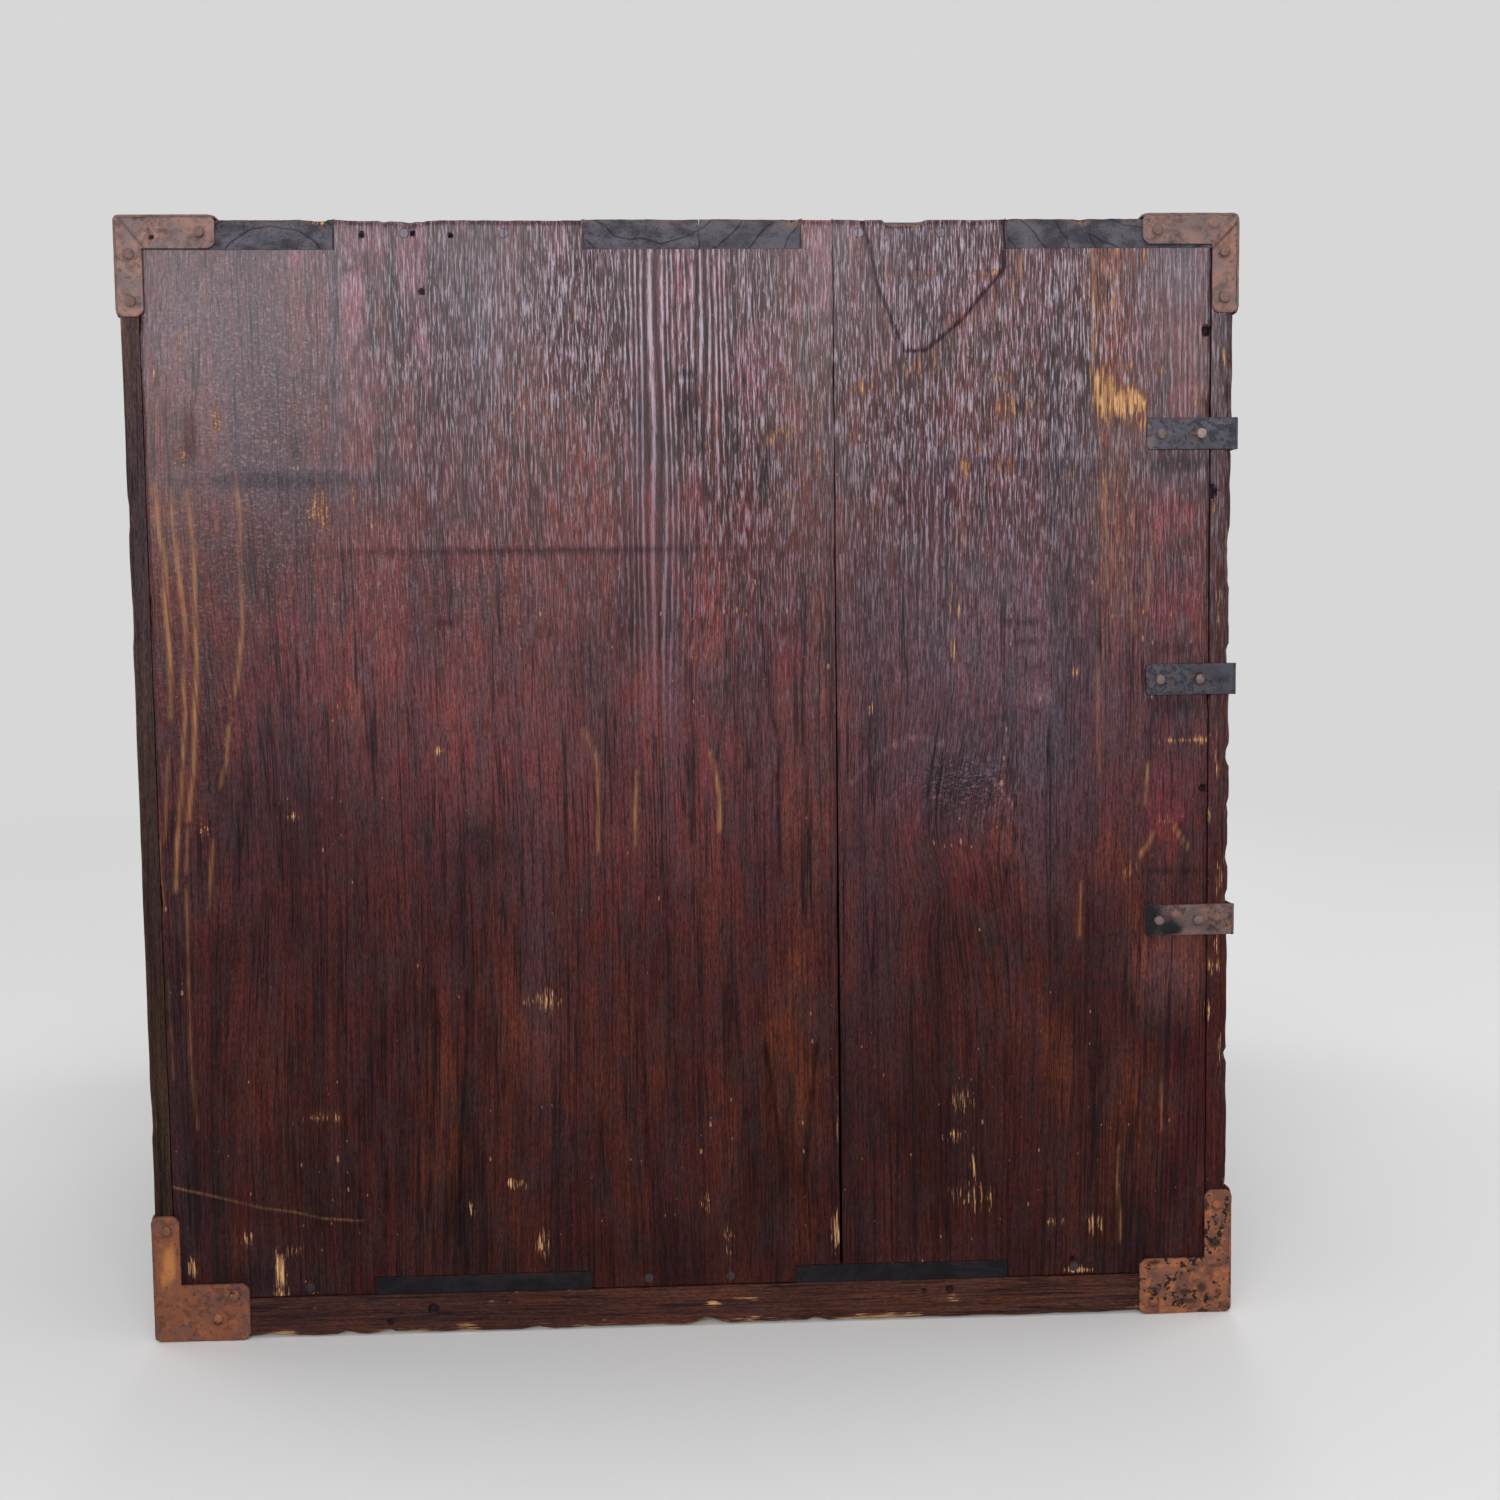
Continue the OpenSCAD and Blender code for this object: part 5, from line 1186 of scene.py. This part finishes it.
def makeSide(side, rearLook, frontLook, stileMarks, railMarks, reshape=None):
    for name, look, edges in (("rear", rearLook, {"aHigh": darkJoint}),
                              ("front", frontLook, {"aLow": darkJoint})):
        node = f"{side}_side_{name}_plank"
        low, high = span(node, side)
        notches = [(s[0], s[1], topZ, caseTop) for s in inMarks(topMarks, (0, 2, 4), low[0], high[0])]
        notches += [(s[0], s[1], railTop, floorZ) for s in inMarks(footMarks, (1, 3), low[0], high[0])]
        edges = {"aLow": calmEdge, "aHigh": calmEdge, "bHigh": fingerEdge, "bLow": calmEdge, **edges}
        part = board(side, node, look, edges, notches=notches, step=(0.75, 2.6))
        makePiece(f"{side}{name.title()}Plank", [part], [sideWood, endWood], "case", [node])
    stileLook = {**frontLook, "holes": (), "bare": (), "seed": frontLook["seed"] + 2, "wear": 0.3,
                 **stileMarks}
    part = board(side, f"{side}_front_stile", stileLook, {"aLow": calmEdge, "aHigh": stileEdge}, rows=10)
    makePiece(f"{side}Stile", [part], [sideWood, endWood], "case", [f"{side}_front_stile"])
    railLook = {"seed": rearLook["seed"] + 5, "polish": 0.06, "warmth": 0.4, "wear": 0.7, "warp": 2,
                "rough": 0.3, **railMarks}
    part = board(f"{side}Edge", f"{side}_base_rail", railLook, {"aLow": railEdge, "aHigh": calmEdge},
                 reshape=reshape)
    makePiece(f"{side}BaseRail", [part], [railWood, endWood], "case", [f"{side}_base_rail"])


makeSide("left", leftRear, leftFront, leftStile, leftRail, railNotch)
makeSide("right", rightRear, rightFront, {}, {})
print("sides made")

topJoint = {"gap": 0.0, "round": 0.35, "chips": 0.15}
topLook = {"seed": 211, "warp": 4, "polish": 0.6, "warmth": 0.35, "wear": 0.8}
for name, seed, edges in (("rear", 211, {"aHigh": topJoint}),
                          ("front", 223, {"aLow": topJoint, "aHigh": wornEdge})):
    node = f"top_{name}_plank"
    low, high = span(node, "top")
    notches = [(s[0], s[1], *ends) for s in inMarks(topMarks, (1, 3), low[0], high[0])
               for ends in ((-halfW, -halfW + plankT), (halfW - plankT, halfW))]
    look = {**topLook, "seed": seed, "bare": scattered(seed, (low[0], -200), (high[0], 200), 9, (6, 16), 0.7),
            "stain": scattered(seed + 1, (low[0], -200), (high[0], 200), 5, (14, 30), 0.4)}
    part = board("top", node, look, {"aLow": calmEdge, "bLow": fingerEdge, "bHigh": fingerEdge, **edges},
                 notches=notches, rows=12)
    makePiece(f"top{name.title()}Plank", [part], [topWood, endWood], "case", [node])

low, high = span("bottom_board", "bottom")
notches = [(s[0], s[1], *ends) for s in inMarks(footMarks, (0, 2, 4), low[0], high[0])
           for ends in ((-halfW, -halfW + plankT), (halfW - plankT, halfW))]
part = board("bottom", "bottom_board", {"seed": 241, "polish": 0.05, "warp": 3}, {"aHigh": wornEdge},
             notches=notches, step=(2.5, 8), rows=8)
makePiece("bottomBoard", [part], [topWood, endWood], "case", ["bottom_board"])

backBoards = {"count": 3, "gap": 0.6}
low, high = span("back_boards", "back")
pitch = (high[0] - low[0] + backBoards["gap"]) / backBoards["count"]
parts = []
for i in range(backBoards["count"]):
    box = (np.array([low[0] + pitch * i, low[1], low[2]]),
           np.array([low[0] + pitch * (i + 1) - backBoards["gap"], high[1], high[2]]))
    # The back boards' bright table is painted sheen too: lighter towards the top.
    look = {"seed": 251 + 9 * i, "warp": 6, "polish": 0.03, "warmth": 0.3, "wear": 0.4, "walls": 0.45,
            "bright": ((0, 1.1), (165, 1.4), (300, 2.1), (455, 2.5)),
            "stain": scattered(257 + i, box[0][:2] + 15, box[1][:2] - 15, 5, (20, 40), 0.45),
            "bare": scattered(263 + i, box[0][:2] + 8, box[1][:2] - 8, 7, (3, 9), 0.6),
            "slate": [(*s[:2], 30, 60, 0.6) for s in scattered(267 + i, box[0], box[1], 3, (1, 1), 1)]
            + [(edge, 350, 6, 130, 0.6) for edge in (-halfW, halfW)]}
    parts.append(board("back", None, look, {"bHigh": calmEdge, "aLow": calmEdge, "aHigh": calmEdge},
                       step=(1.1, 4), box=box, rows=8))
makePiece("backBoards", parts, [backWood, endWood], "case", ["back_boards"])
print("top, bottom and back made")

for i, name in enumerate(railNames):
    look = {"seed": 271 + 7 * i, "polish": 0.4, "warmth": 0.3, "wear": 0.3, "warp": 2}
    low, high = span(f"{name}_rail", "front")
    box = [(low[0], -halfW + plankT, low[2]), (high[0], halfW - plankT, high[2])]
    part = board("front", None, look, {"aLow": calmEdge, "aHigh": calmEdge}, box=box, rows=14)
    makePiece(f"{name}Rail", [part], [frontWood, endWood], "case", [f"{name}_rail"])
for name, face in (("front", "front"), ("rear", "rearEdge")):
    look = {"seed": 293, "polish": 0.1, "warmth": 0.3, "wear": 0.6, "warp": 2}
    part = board(face, f"{name}_base_rail", look, {"aLow": wornEdge, "aHigh": calmEdge}, rows=6)
    makePiece(f"{name}BaseRail", [part], [sideWood, endWood], "case", [f"{name}_base_rail"])
print("rails made")

# Iron fittings: sheet bent round the corners, one flat plate for each face it lies on

fitting = {
    "topArm": 38.5, "topArmW": 11.3, "topUprightW": 10, "footArm": 38, "footHeight": 53, "footUprightW": 10.5,
    "footArmH": floorZ - 1, "cornerCut": 2.5, "strapW": 13, "strapSide": 36.5, "strapFront": 42, "grid": 0.65,
    # cuts of the outer corners, what the rear irons' side leg is wider by, and the step where legs overlap
    "outerCut": 2.2, "strapCut": 1.6, "rearExtra": 0.8, "foldDepth": 0.32,
}
sheetEdge = {"gap": 0.05, "round": 0.3, "chips": 0.25}
topNails = {"side": [(32.5, 5.65), (5, 14.3), (5, 32.5)], "end": [(27.5, 5.65), (5, 27.5)],
            "top": [(22.5, 5.65), (5.65, 22.5)]}
footNails = {"rear": [(25, 9.6), (32, 19.2), (5.25, 47)], "front": [(32, 6), (5.25, 47)],
             "end": [(27, 14.4), (5.25, 29), (5.25, 42)]}


def paintedNailShadows(places):  # a painted shadow round each nail, mostly under it
    return [(a, b - 0.9, 2.6, 2.4, 0.75) for a, b in places]


blackSpots = [(440.8, 30.3, 3.2, 2.6, 1), (437, 45.8, 1.2, 2, 1), (435.5, 11, 2.6, 2.6, 0.9),
              (428, 9.5, 3, 1.5, 0.9), (415, 11, 3.2, 0.9, 0.9), (415, 22.6, 3.4, 1.1, 1),
              (428, 5.5, 5.5, 1.5, 0.9), (439, 6.2, 1.8, 1.4, 0.8), (441, 20.6, 4, 0.9, 0.8),
              (442.3, 9.2, 1.6, 1.8, 0.8)]  # on the left front foot


def anglePlate(face, corner, directions, arm, upright, seed, over=(1, 1), **marks):
    # An L of sheet. It starts past the corner where it bends round the edge.
    (a0, b0), (da, db) = corner, directions
    (armL, armW), (upL, upW) = arm, upright
    overA, overB = over[0] * ironT, over[1] * ironT
    ends = np.array([[a0 - da * overA, b0 - db * overB], [a0 + da * armL, b0 + db * upL]])
    low, high = np.append(ends.min(0), -ironT), np.append(ends.max(0), 0.0)
    notchA = sorted((a0 + da * upW, a0 + da * (armL + 1)))
    notchB = sorted((b0 + db * armW, b0 + db * (upL + 1)))
    r = fitting["cornerCut"]
    corners = [(a0 + da * armL, b0 - db * overB, da, -db, r), (a0 + da * armL, b0 + db * armW, da, db, r),
               (a0 + da * upW, b0 + db * upL, da, db, r), (a0 - da * overA, b0 + db * upL, -da, db, r)]
    corners.append((a0 - da * overA, b0 - db * overB, -da, -db, fitting["outerCut"]))
    look = {"seed": seed, "sheet": True, "bareEdge": 0.15, **marks}
    edges = dict.fromkeys(sides, sheetEdge)
    return board(face, None, look, edges, step=(fitting["grid"], fitting["grid"]), rows=2, box=(low, high),
                 notches=[(*notchA, *notchB)], corners=corners)


def makeCornerIrons(side, end):
    sign = -1 if side == "left" else 1
    u0, du = (0, 1) if end == "rear" else (caseDepth, -1)
    x0, dx = sign * halfW, -sign
    seed = 400 + 40 * (side == "right") + 20 * (end == "front")
    f = fitting
    arm, upright = (f["topArm"], f["topArmW"]), (f["topArm"], f["topUprightW"])
    sideArm = (f["topArm"], f["topArmW"] + f["rearExtra"] * (end == "rear"))
    # Painted shadows round the nails of each sheet.
    nailShadowsAndHole = paintedNailShadows([(u0 + du * p, caseTop - q) for p, q in topNails["side"]])
    footShadowsAndSpots = paintedNailShadows([(u0 + du * p, q) for p, q in footNails[end]])
    # On the side, one leg lies over the other: the lower one is thinner than the sheet.
    if end == "rear":
        under = [(u0 + 12.2, caseTop - 14), (u0 + 40, caseTop - 14), (u0 + 40, caseTop + 2),
                 (u0 - 1, caseTop + 2)]
        marks = {"tone": 1.4, "rust": -0.06}
        if side == "left":
            nailShadowsAndHole.append((14, 447.2, 0.85, 0.85, 3))  # the hole of a lost nail
        footSheet = {"tone": 0.95, "rough": 0.3, "rust": 0.22,
                     "bare": [(6, 33, 2.6, 8, 0.8), (3.4, 27, 1.6, 4, 0.6)],
                     "warm": [(6, 40, 6, 12, 0.2), (20, 8, 10, 6, 0.3)]}
    else:
        under = [(u0 + 2, caseTop - 40), (u0 + 2, caseTop - 1), (u0 - 12, caseTop - 14.8),
                 (u0 - 12, caseTop - 40)]
        marks = {"tone": 1.2, "warm": [(u0 - 5, caseTop - 13, 5, 6, 0.35)]}
        footSheet = {"tone": 1.1}
        if side == "left":
            footShadowsAndSpots += blackSpots
    plates = [anglePlate(side, (u0, caseTop), (du, -1), sideArm, upright, seed, stain=nailShadowsAndHole, bareEdge=0.3,
                         steps=[(anticlockwise(under), f["foldDepth"])], **marks),
              anglePlate("top", (u0, x0), (du, dx), arm, (f["topArm"], f["topArmW"]), seed + 2)]
    if end == "rear":
        plates.append(anglePlate("back", (x0, caseTop), (dx, -1), arm, upright, seed + 3))
    else:  # the front face runs across in z and along in x
        plates.append(anglePlate("front", (caseTop, x0), (-1, dx), upright, arm, seed + 3))
    node = f"top_{end}_{side}_iron"
    makePiece(f"top{end.title()}{side.title()}Iron", plates, [rustyIron], "case", [node])
    arm, upright = (f["footArm"], f["footArmH"]), (f["footHeight"], f["footUprightW"])
    plates = [anglePlate(side, (u0, 0), (du, 1), arm, upright, seed + 5, over=(1, 0), stain=footShadowsAndSpots,
                         **footSheet)]
    if end == "rear":
        plates.append(anglePlate("back", (x0, 0), (dx, 1), arm, upright, seed + 6, over=(1, 0)))
    else:
        plates.append(anglePlate("front", (0, x0), (1, dx), upright, arm, seed + 6, over=(0, 1)))
    node = f"bottom_{end}_{side}_iron"
    finish = rearFootIron if end == "rear" else footIron
    makePiece(f"bottom{end.title()}{side.title()}Iron", plates, [finish], "case", [node])


def anticlockwise(outline):
    area = sum(a0 * b1 - a1 * b0 for (a0, b0), (a1, b1) in zip(outline, outline[1:] + outline[:1]))
    return outline if area > 0 else outline[::-1]


for side in ("left", "right"):
    for end in ("rear", "front"):
        makeCornerIrons(side, end)

railZs = [boxMm(f"{name}_rail")[0][2] for name in railNames]
railH = boxMm("upper_rail")[1][2] - railZs[0]
strapTints = ((1.5, -0.1), (1.2, -0.1), (1.25, 0.15))  # how pale and how rusty, from the top
strapNails = {"side": (30.5, 14), "front": (6.25, 36)}  # from the corner of the case
for side, sign in (("left", -1), ("right", 1)):
    plates = []
    for i, z in enumerate(railZs):
        z0 = z + (railH - fitting["strapW"]) / 2
        z1 = z0 + fitting["strapW"]
        tone, rust = strapTints[i]
        look = {"seed": 520 + 9 * i + (sign > 0), "sheet": True, "bareEdge": 0.32, "tone": tone, "rust": rust}
        # Painted shadow round each strap nail.
        look["stain"] = paintedNailShadows([(caseDepth - inward, z + railH / 2) for inward in strapNails["side"]])
        if (side, i) == ("left", 2):
            look["stain"] += [(412.5, z0 + 6, 5.5, 11, 1.3), (421, z0 + 2.5, 6.5, 4.5, 1.3)]
            look["warm"] = [(423, z0 + 10, 3, 2, 0.6), (444, z0 + 6, 7, 6, 0.25), (436, z0 + 10, 3, 3, 0.3)]
        sideBox = ([caseDepth - fitting["strapSide"], z0, -ironT], [caseDepth + ironT, z1, 0])
        ends = sorted((sign * (halfW + ironT), sign * (halfW - fitting["strapFront"])))
        frontBox = ([z0, ends[0], -ironT], [z1, ends[1], 0])
        for face, box in ((side, sideBox), ("front", frontBox)):
            edges = dict.fromkeys(sides, sheetEdge)
            cut = fitting["strapCut"]
            corners = [(box[0][0], z0, -1, -1, cut), (box[0][0], z1, -1, 1, cut)] if face == side else []
            plates.append(board(face, None, look, edges, step=(0.85, 0.85), rows=2, corners=corners,
                                box=box))
    makePiece(f"{side}Straps", plates, [darkIron], "case", [f"{side}_straps"])
print("fittings made")

# Nail heads and pegs

nails = {"headR": 2.2, "headH": 1.0, "around": 18, "bright": 0.55, "dim": 0.22}
pegs = {"radius": 2.0, "length": 3.0, "around": 24, "sunk": 0.1}


def ringQuads(n, count):
    # The faces between rings of n points, one ring after another.
    k = np.arange(n)
    return np.concatenate([np.stack([i * n + k, i * n + (k + 1) % n, (i + 1) * n + (k + 1) % n,
                                     (i + 1) * n + k], -1) for i in range(count - 1)])


def nailHead(face, a, b, seed, slot, bright=0.0):
    # A domed head, a little out of round, from its rim to its middle.
    rng = np.random.default_rng(seed)
    n = nails["around"]
    turn = np.arange(n) * 2 * math.pi / n
    wobble = 1 - 0.12 * rng.random() * (1 + np.cos(2 * turn + rng.uniform(0, 6))) / 2
    wobble = wobble * (1 - 0.05 * rng.random(n))
    tilt, lean = rng.uniform(-0.1, 0.1), rng.uniform(0, 2 * math.pi)
    rings = [(1.0, 0.0), (0.99, 0.18), (0.9, 0.48), (0.68, 0.76), (0.36, 0.92)]
    pa, pb, pc = [], [], []
    for r, h in rings:
        pa.append(a + nails["headR"] * r * wobble * np.cos(turn))
        pb.append(b + nails["headR"] * r * wobble * np.sin(turn))
        height = nails["headH"] * h * (0.92 + tilt * r * np.cos(turn + lean)) * (1 - 0.08 * rng.random(n))
        pc.append(-ironT - height)
    pa.append(np.array([a]))
    pb.append(np.array([b]))
    pc.append(np.array([-ironT - 0.9 * nails["headH"]]))
    pa, pb, pc = (np.concatenate(p) for p in (pa, pb, pc))
    quads = ringQuads(n, len(rings))
    top = (len(rings) - 1) * n
    rounds = [np.array([top + j, top + (j + 1) % n, len(rings) * n]) for j in range(n)] + [np.arange(n)[::-1]]
    return toFace(face, (pa, pb, pc), quads, rounds, seed, bright, slot)


def toFace(face, points, quads, rounds, seed, bare=0.0, slot=0, tone=0.5, rim=0):
    # The first points, as many as rim says, are stained dark.
    places, quads, rounds = onFace(face, points, quads, rounds)
    pa, pb, pc = points
    count = len(pa)
    marks = np.tile([bare, 0.0, 0.5], (count, 1))
    marks[:rim, 1] = 1.0
    return {"places": places, "quads": quads, "rounds": rounds,
            "slots": np.full(len(quads) + len(rounds), slot),
            "read": np.stack([pa, pb + 31 * seed, pc], -1), "marks": marks,
            "tones": np.tile([tone, 0.1, 0.0], (count, 1)), "zones": np.zeros((count, 3)),
            "drawn": np.tile([0.0, 1.0, 0.0], (count, 1))}


def peg(face, a, b, depth, seed, tone):
    # A round peg's end, a little proud of the wood, over a short length of its side.
    n = pegs["around"]
    turn = np.arange(n) * 2 * math.pi / n
    rings = [(1.0, pegs["length"]), (1.0, 0.12), (0.9, 0.0), (0.84, -0.02), (0.5, -0.05)]
    pa = np.concatenate([a + pegs["radius"] * r * np.cos(turn) for r, c in rings])
    pb = np.concatenate([b + pegs["radius"] * r * np.sin(turn) for r, c in rings])
    pc = np.concatenate([depth + c + 0.05 * np.sin(3 * turn + seed) for r, c in rings])
    quads = ringQuads(n, len(rings))
    rounds = [(len(rings) - 1) * n + np.arange(n), np.arange(n)[::-1]]
    return toFace(face, (pa, pb, pc), quads, rounds, seed, tone=tone, rim=3 * n)


parts = []
seed = 600
for side, sign in (("left", -1), ("right", 1)):
    for end, u0, du in (("rear", 0, 1), ("front", caseDepth, -1)):
        spots = [(side, u0 + du * p, caseTop - q, 1) for p, q in topNails["side"]]
        spots += [(side, u0 + du * p, q, 2) for p, q in footNails[end]]
        spots += [("top", u0 + du * q, sign * (halfW - p), 1) for p, q in topNails["top"]]
        ends = [(sign * (halfW - p), caseTop - q, 1) for p, q in topNails["end"]]
        ends += [(sign * (halfW - p), q, 2) for p, q in footNails["end"]]
        spots += [("back", x, z, slot) if end == "rear" else ("front", z, x, slot) for x, z, slot in ends]
        for face, a, b, slot in spots:
            seed += 1
            parts.append(nailHead(face, a, b, seed, slot))
    for i, z in enumerate(railZs):
        for inward in strapNails["side"]:
            seed += 1
            bright = nails["bright" if (side, i, inward) == ("left", 0, 14) else "dim"]
            parts.append(nailHead(side, caseDepth - inward, z + railH / 2, seed, 0, bright))
        for inward in strapNails["front"]:
            seed += 1
            parts.append(nailHead("front", z + railH / 2, sign * (halfW - inward), seed, 0))
makePiece("ironNailHeads", parts, [darkIron, rustyIron, footIron], "case", ["iron_nails"],
          sharp=60)


def depthAt(look, a, b):
    return float(boardSurface({**plainBoard, **look}, np.array([[a]]), np.array([[b]]))["depth"][0, 0])


def pegPlaces(marks, gaps):
    shares = {0: (0.7,), 4: (0.3,)}
    return [marks[g] + (marks[g + 1] - marks[g]) * s for g in gaps for s in shares.get(g, (0.28, 0.68))]


parts = []
for side, sign, looks in (("left", -1, (leftRear, leftFront)), ("right", 1, (rightRear, rightFront))):
    for u, z in ([(u, caseTop - plankT / 2) for u in pegPlaces(topMarks, (1, 3))]
                 + [(u, (railTop + floorZ) / 2) for u in pegPlaces(footMarks, (0, 2, 4))]):
        look = {**looks[int(u > sideJoint)], "holes": ()}
        tone = 0.6 if z > topZ else 0.05
        parts.append(peg(side, u, z, max(0.0, depthAt(look, u, z) - pegs["sunk"]), round(u), tone))
    for u in pegPlaces(topMarks, (0, 2, 4)):
        parts.append(peg("top", u, sign * (halfW - plankT / 2), 0.15, round(u), 0.5))
makePiece("jointPegs", parts, [pegWood], "case", ["joint_pegs"])
print("nails and pegs made")

# Drawers: new fronts over the solids' sides, backs and bottoms

drawerFront = {"lap": 6, "thick": 15, "sideT": 9, "bottomT": 6}
for i, name in enumerate(drawerNames):
    body = f"{name}_drawer"
    low, high = span(f"{body}_front", "front")
    look = {"seed": 701 + 17 * i, "warp": 7, "polish": 0.6, "warmth": 0.35, "wear": 0.5,
            "bare": scattered(703 + i, (low[0] + 6, -195), (high[0] - 6, 195), 7, (2, 9), 0.5),
            "stain": scattered(709 + i, (low[0] + 6, -195), (high[0] - 6, 195), 3, (4, 30), 0.4)}
    lap, sideT = drawerFront["lap"], drawerFront["sideT"]
    outer = ((low[0], low[1], 0), (high[0], high[1], lap))
    inner = ((low[0] + drawerFront["bottomT"], low[1] + sideT, lap),
             (high[0], high[1] - sideT, drawerFront["thick"]))
    parts = [board("front", None, look, dict.fromkeys(sides, calmEdge), box=outer),
             board("front", None, {"seed": 5, "rough": 0.2}, box=inner, step=(6, 20), rows=2)]
    makePiece(f"{name}DrawerFront", parts, [frontWood, endWood], body, [f"{body}_front"])


def dress(node, finish):
    mesh = bpy.data.objects[node].data
    mesh.materials.clear()
    mesh.materials.append(finish)


for name in drawerNames:
    for part in ("left_side", "right_side"):
        dress(f"{name}_drawer_{part}", rawDeep)
    for part in ("back", "bottom"):
        dress(f"{name}_drawer_{part}", rawAcross)
    for part in ("handle_mounts", "bail"):
        dress(f"{name}_drawer_{part}", handleIron)
for node in ("left_runners", "right_runners"):
    dress(node, rawDeep)
dress("back_nails", handleIron)
print("drawers made")

# Floor, lights and camera

stage = {"floorTone": (0.8, 0.8, 0.8), "wallTone": (0.68, 0.68, 0.685), "fill": 0.32, "radius": 9.0,
         "corners": 64, "fadeFrom": 0.7, "fadeTo": 2.6}

floorMesh = bpy.data.meshes.new("floor")
turns = np.linspace(0, 2 * math.pi, stage["corners"] + 1)[:-1]
ring = [(stage["radius"] * math.cos(t), stage["radius"] * math.sin(t), 0) for t in turns]
floorMesh.from_pydata(ring, [], [list(range(stage["corners"]))])
floor = bpy.data.objects.new("floor", floorMesh)
bpy.context.scene.collection.objects.link(floor)
floorMaterial, tree, shader = newMaterial("floorPale")
shader["Base Color"].default_value = (*stage["floorTone"], 1)
shader["Roughness"].default_value = 0.6
coords = tree.nodes.new("ShaderNodeTexCoord").outputs["Object"]
feed(tree, shader["Normal"], bump(tree, noiseOf(tree, coords, 200, 200, 200, 2), 0.00005))
away = tree.nodes.new("ShaderNodeVectorMath")
away.operation = "LENGTH"
feed(tree, away.inputs[0], coords)
fade = rise(tree, away.outputs["Value"], stage["fadeFrom"], stage["fadeTo"])
glowNode, blend = tree.nodes.new("ShaderNodeEmission"), tree.nodes.new("ShaderNodeMixShader")
feed(tree, glowNode.inputs["Color"], (*stage["wallTone"], 1))
feed(tree, blend.inputs[0], fade)
feed(tree, blend.inputs[1], tree.nodes["Principled BSDF"].outputs[0])
feed(tree, blend.inputs[2], glowNode.outputs[0])
feed(tree, tree.nodes["Material Output"].inputs["Surface"], blend.outputs[0])
floorMesh.materials.append(floorMaterial)

world = bpy.data.worlds.new("studio")
world.use_nodes = True
tree = world.node_tree
background = tree.nodes["Background"]
path = tree.nodes.new("ShaderNodeLightPath")
feed(tree, background.inputs["Color"], (*stage["wallTone"], 1))
feed(tree, background.inputs["Strength"], calc(tree, "MULTIPLY_ADD", path.outputs["Is Camera Ray"],
                                               1 - stage["fill"], stage["fill"]))
bpy.context.scene.world = world
bpy.context.scene.view_settings.view_transform = "Standard"


def softLight(name, where, towards, size, power):
    light = bpy.data.lights.new(name, "AREA")
    light.shape, light.size, light.size_y, light.energy = "RECTANGLE", size[0], size[1], power
    lamp = bpy.data.objects.new(name, light)
    lamp.location = where
    lamp.rotation_euler = (Vector(towards) - Vector(where)).to_track_quat("-Z", "Y").to_euler()
    bpy.context.scene.collection.objects.link(lamp)


middle = (0, 0, 0.2)
softLight("window", (-2.3, 0.1, 1.0), (-0.22, 0.0, 0.25), (2.6, 0.9), 42)
softLight("overhead", (-0.3, 0.0, 2.6), middle, (2.2, 2.2), 26)
for name, where, power in (("frontFill", (0.6, -2.6, 1.3), 22), ("rearFill", (1.2, 2.6, 1.3), 18),
                           ("rightFill", (2.6, -0.2, 1.3), 18)):
    softLight(name, where, middle, (1.8, 1.2), power)

view = {"place": (-0.8365, 0.0043, 0.2805), "yaw": -2.12, "pitch": -3.66, "roll": -0.71, "lens": 36,
        "sensor": 36}
yaw, pitch, roll = (math.radians(view[k]) for k in ("yaw", "pitch", "roll"))
forward = Vector((math.cos(pitch) * math.cos(yaw), math.cos(pitch) * math.sin(yaw), math.sin(pitch)))
rightward = forward.cross(Vector((0, 0, 1))).normalized()
upward = rightward.cross(forward)
rolled = math.cos(roll) * rightward + math.sin(roll) * upward
raised = -math.sin(roll) * rightward + math.cos(roll) * upward
lens = bpy.data.cameras.new("camera")
lens.lens, lens.sensor_width, lens.clip_start = view["lens"], view["sensor"], 0.01
camera = bpy.data.objects.new("camera", lens)
turned = Matrix((rolled, raised, -forward)).transposed().to_4x4()
camera.matrix_world = Matrix.Translation(view["place"]) @ turned
bpy.context.scene.collection.objects.link(camera)
bpy.context.scene.camera = camera
print("stage made")
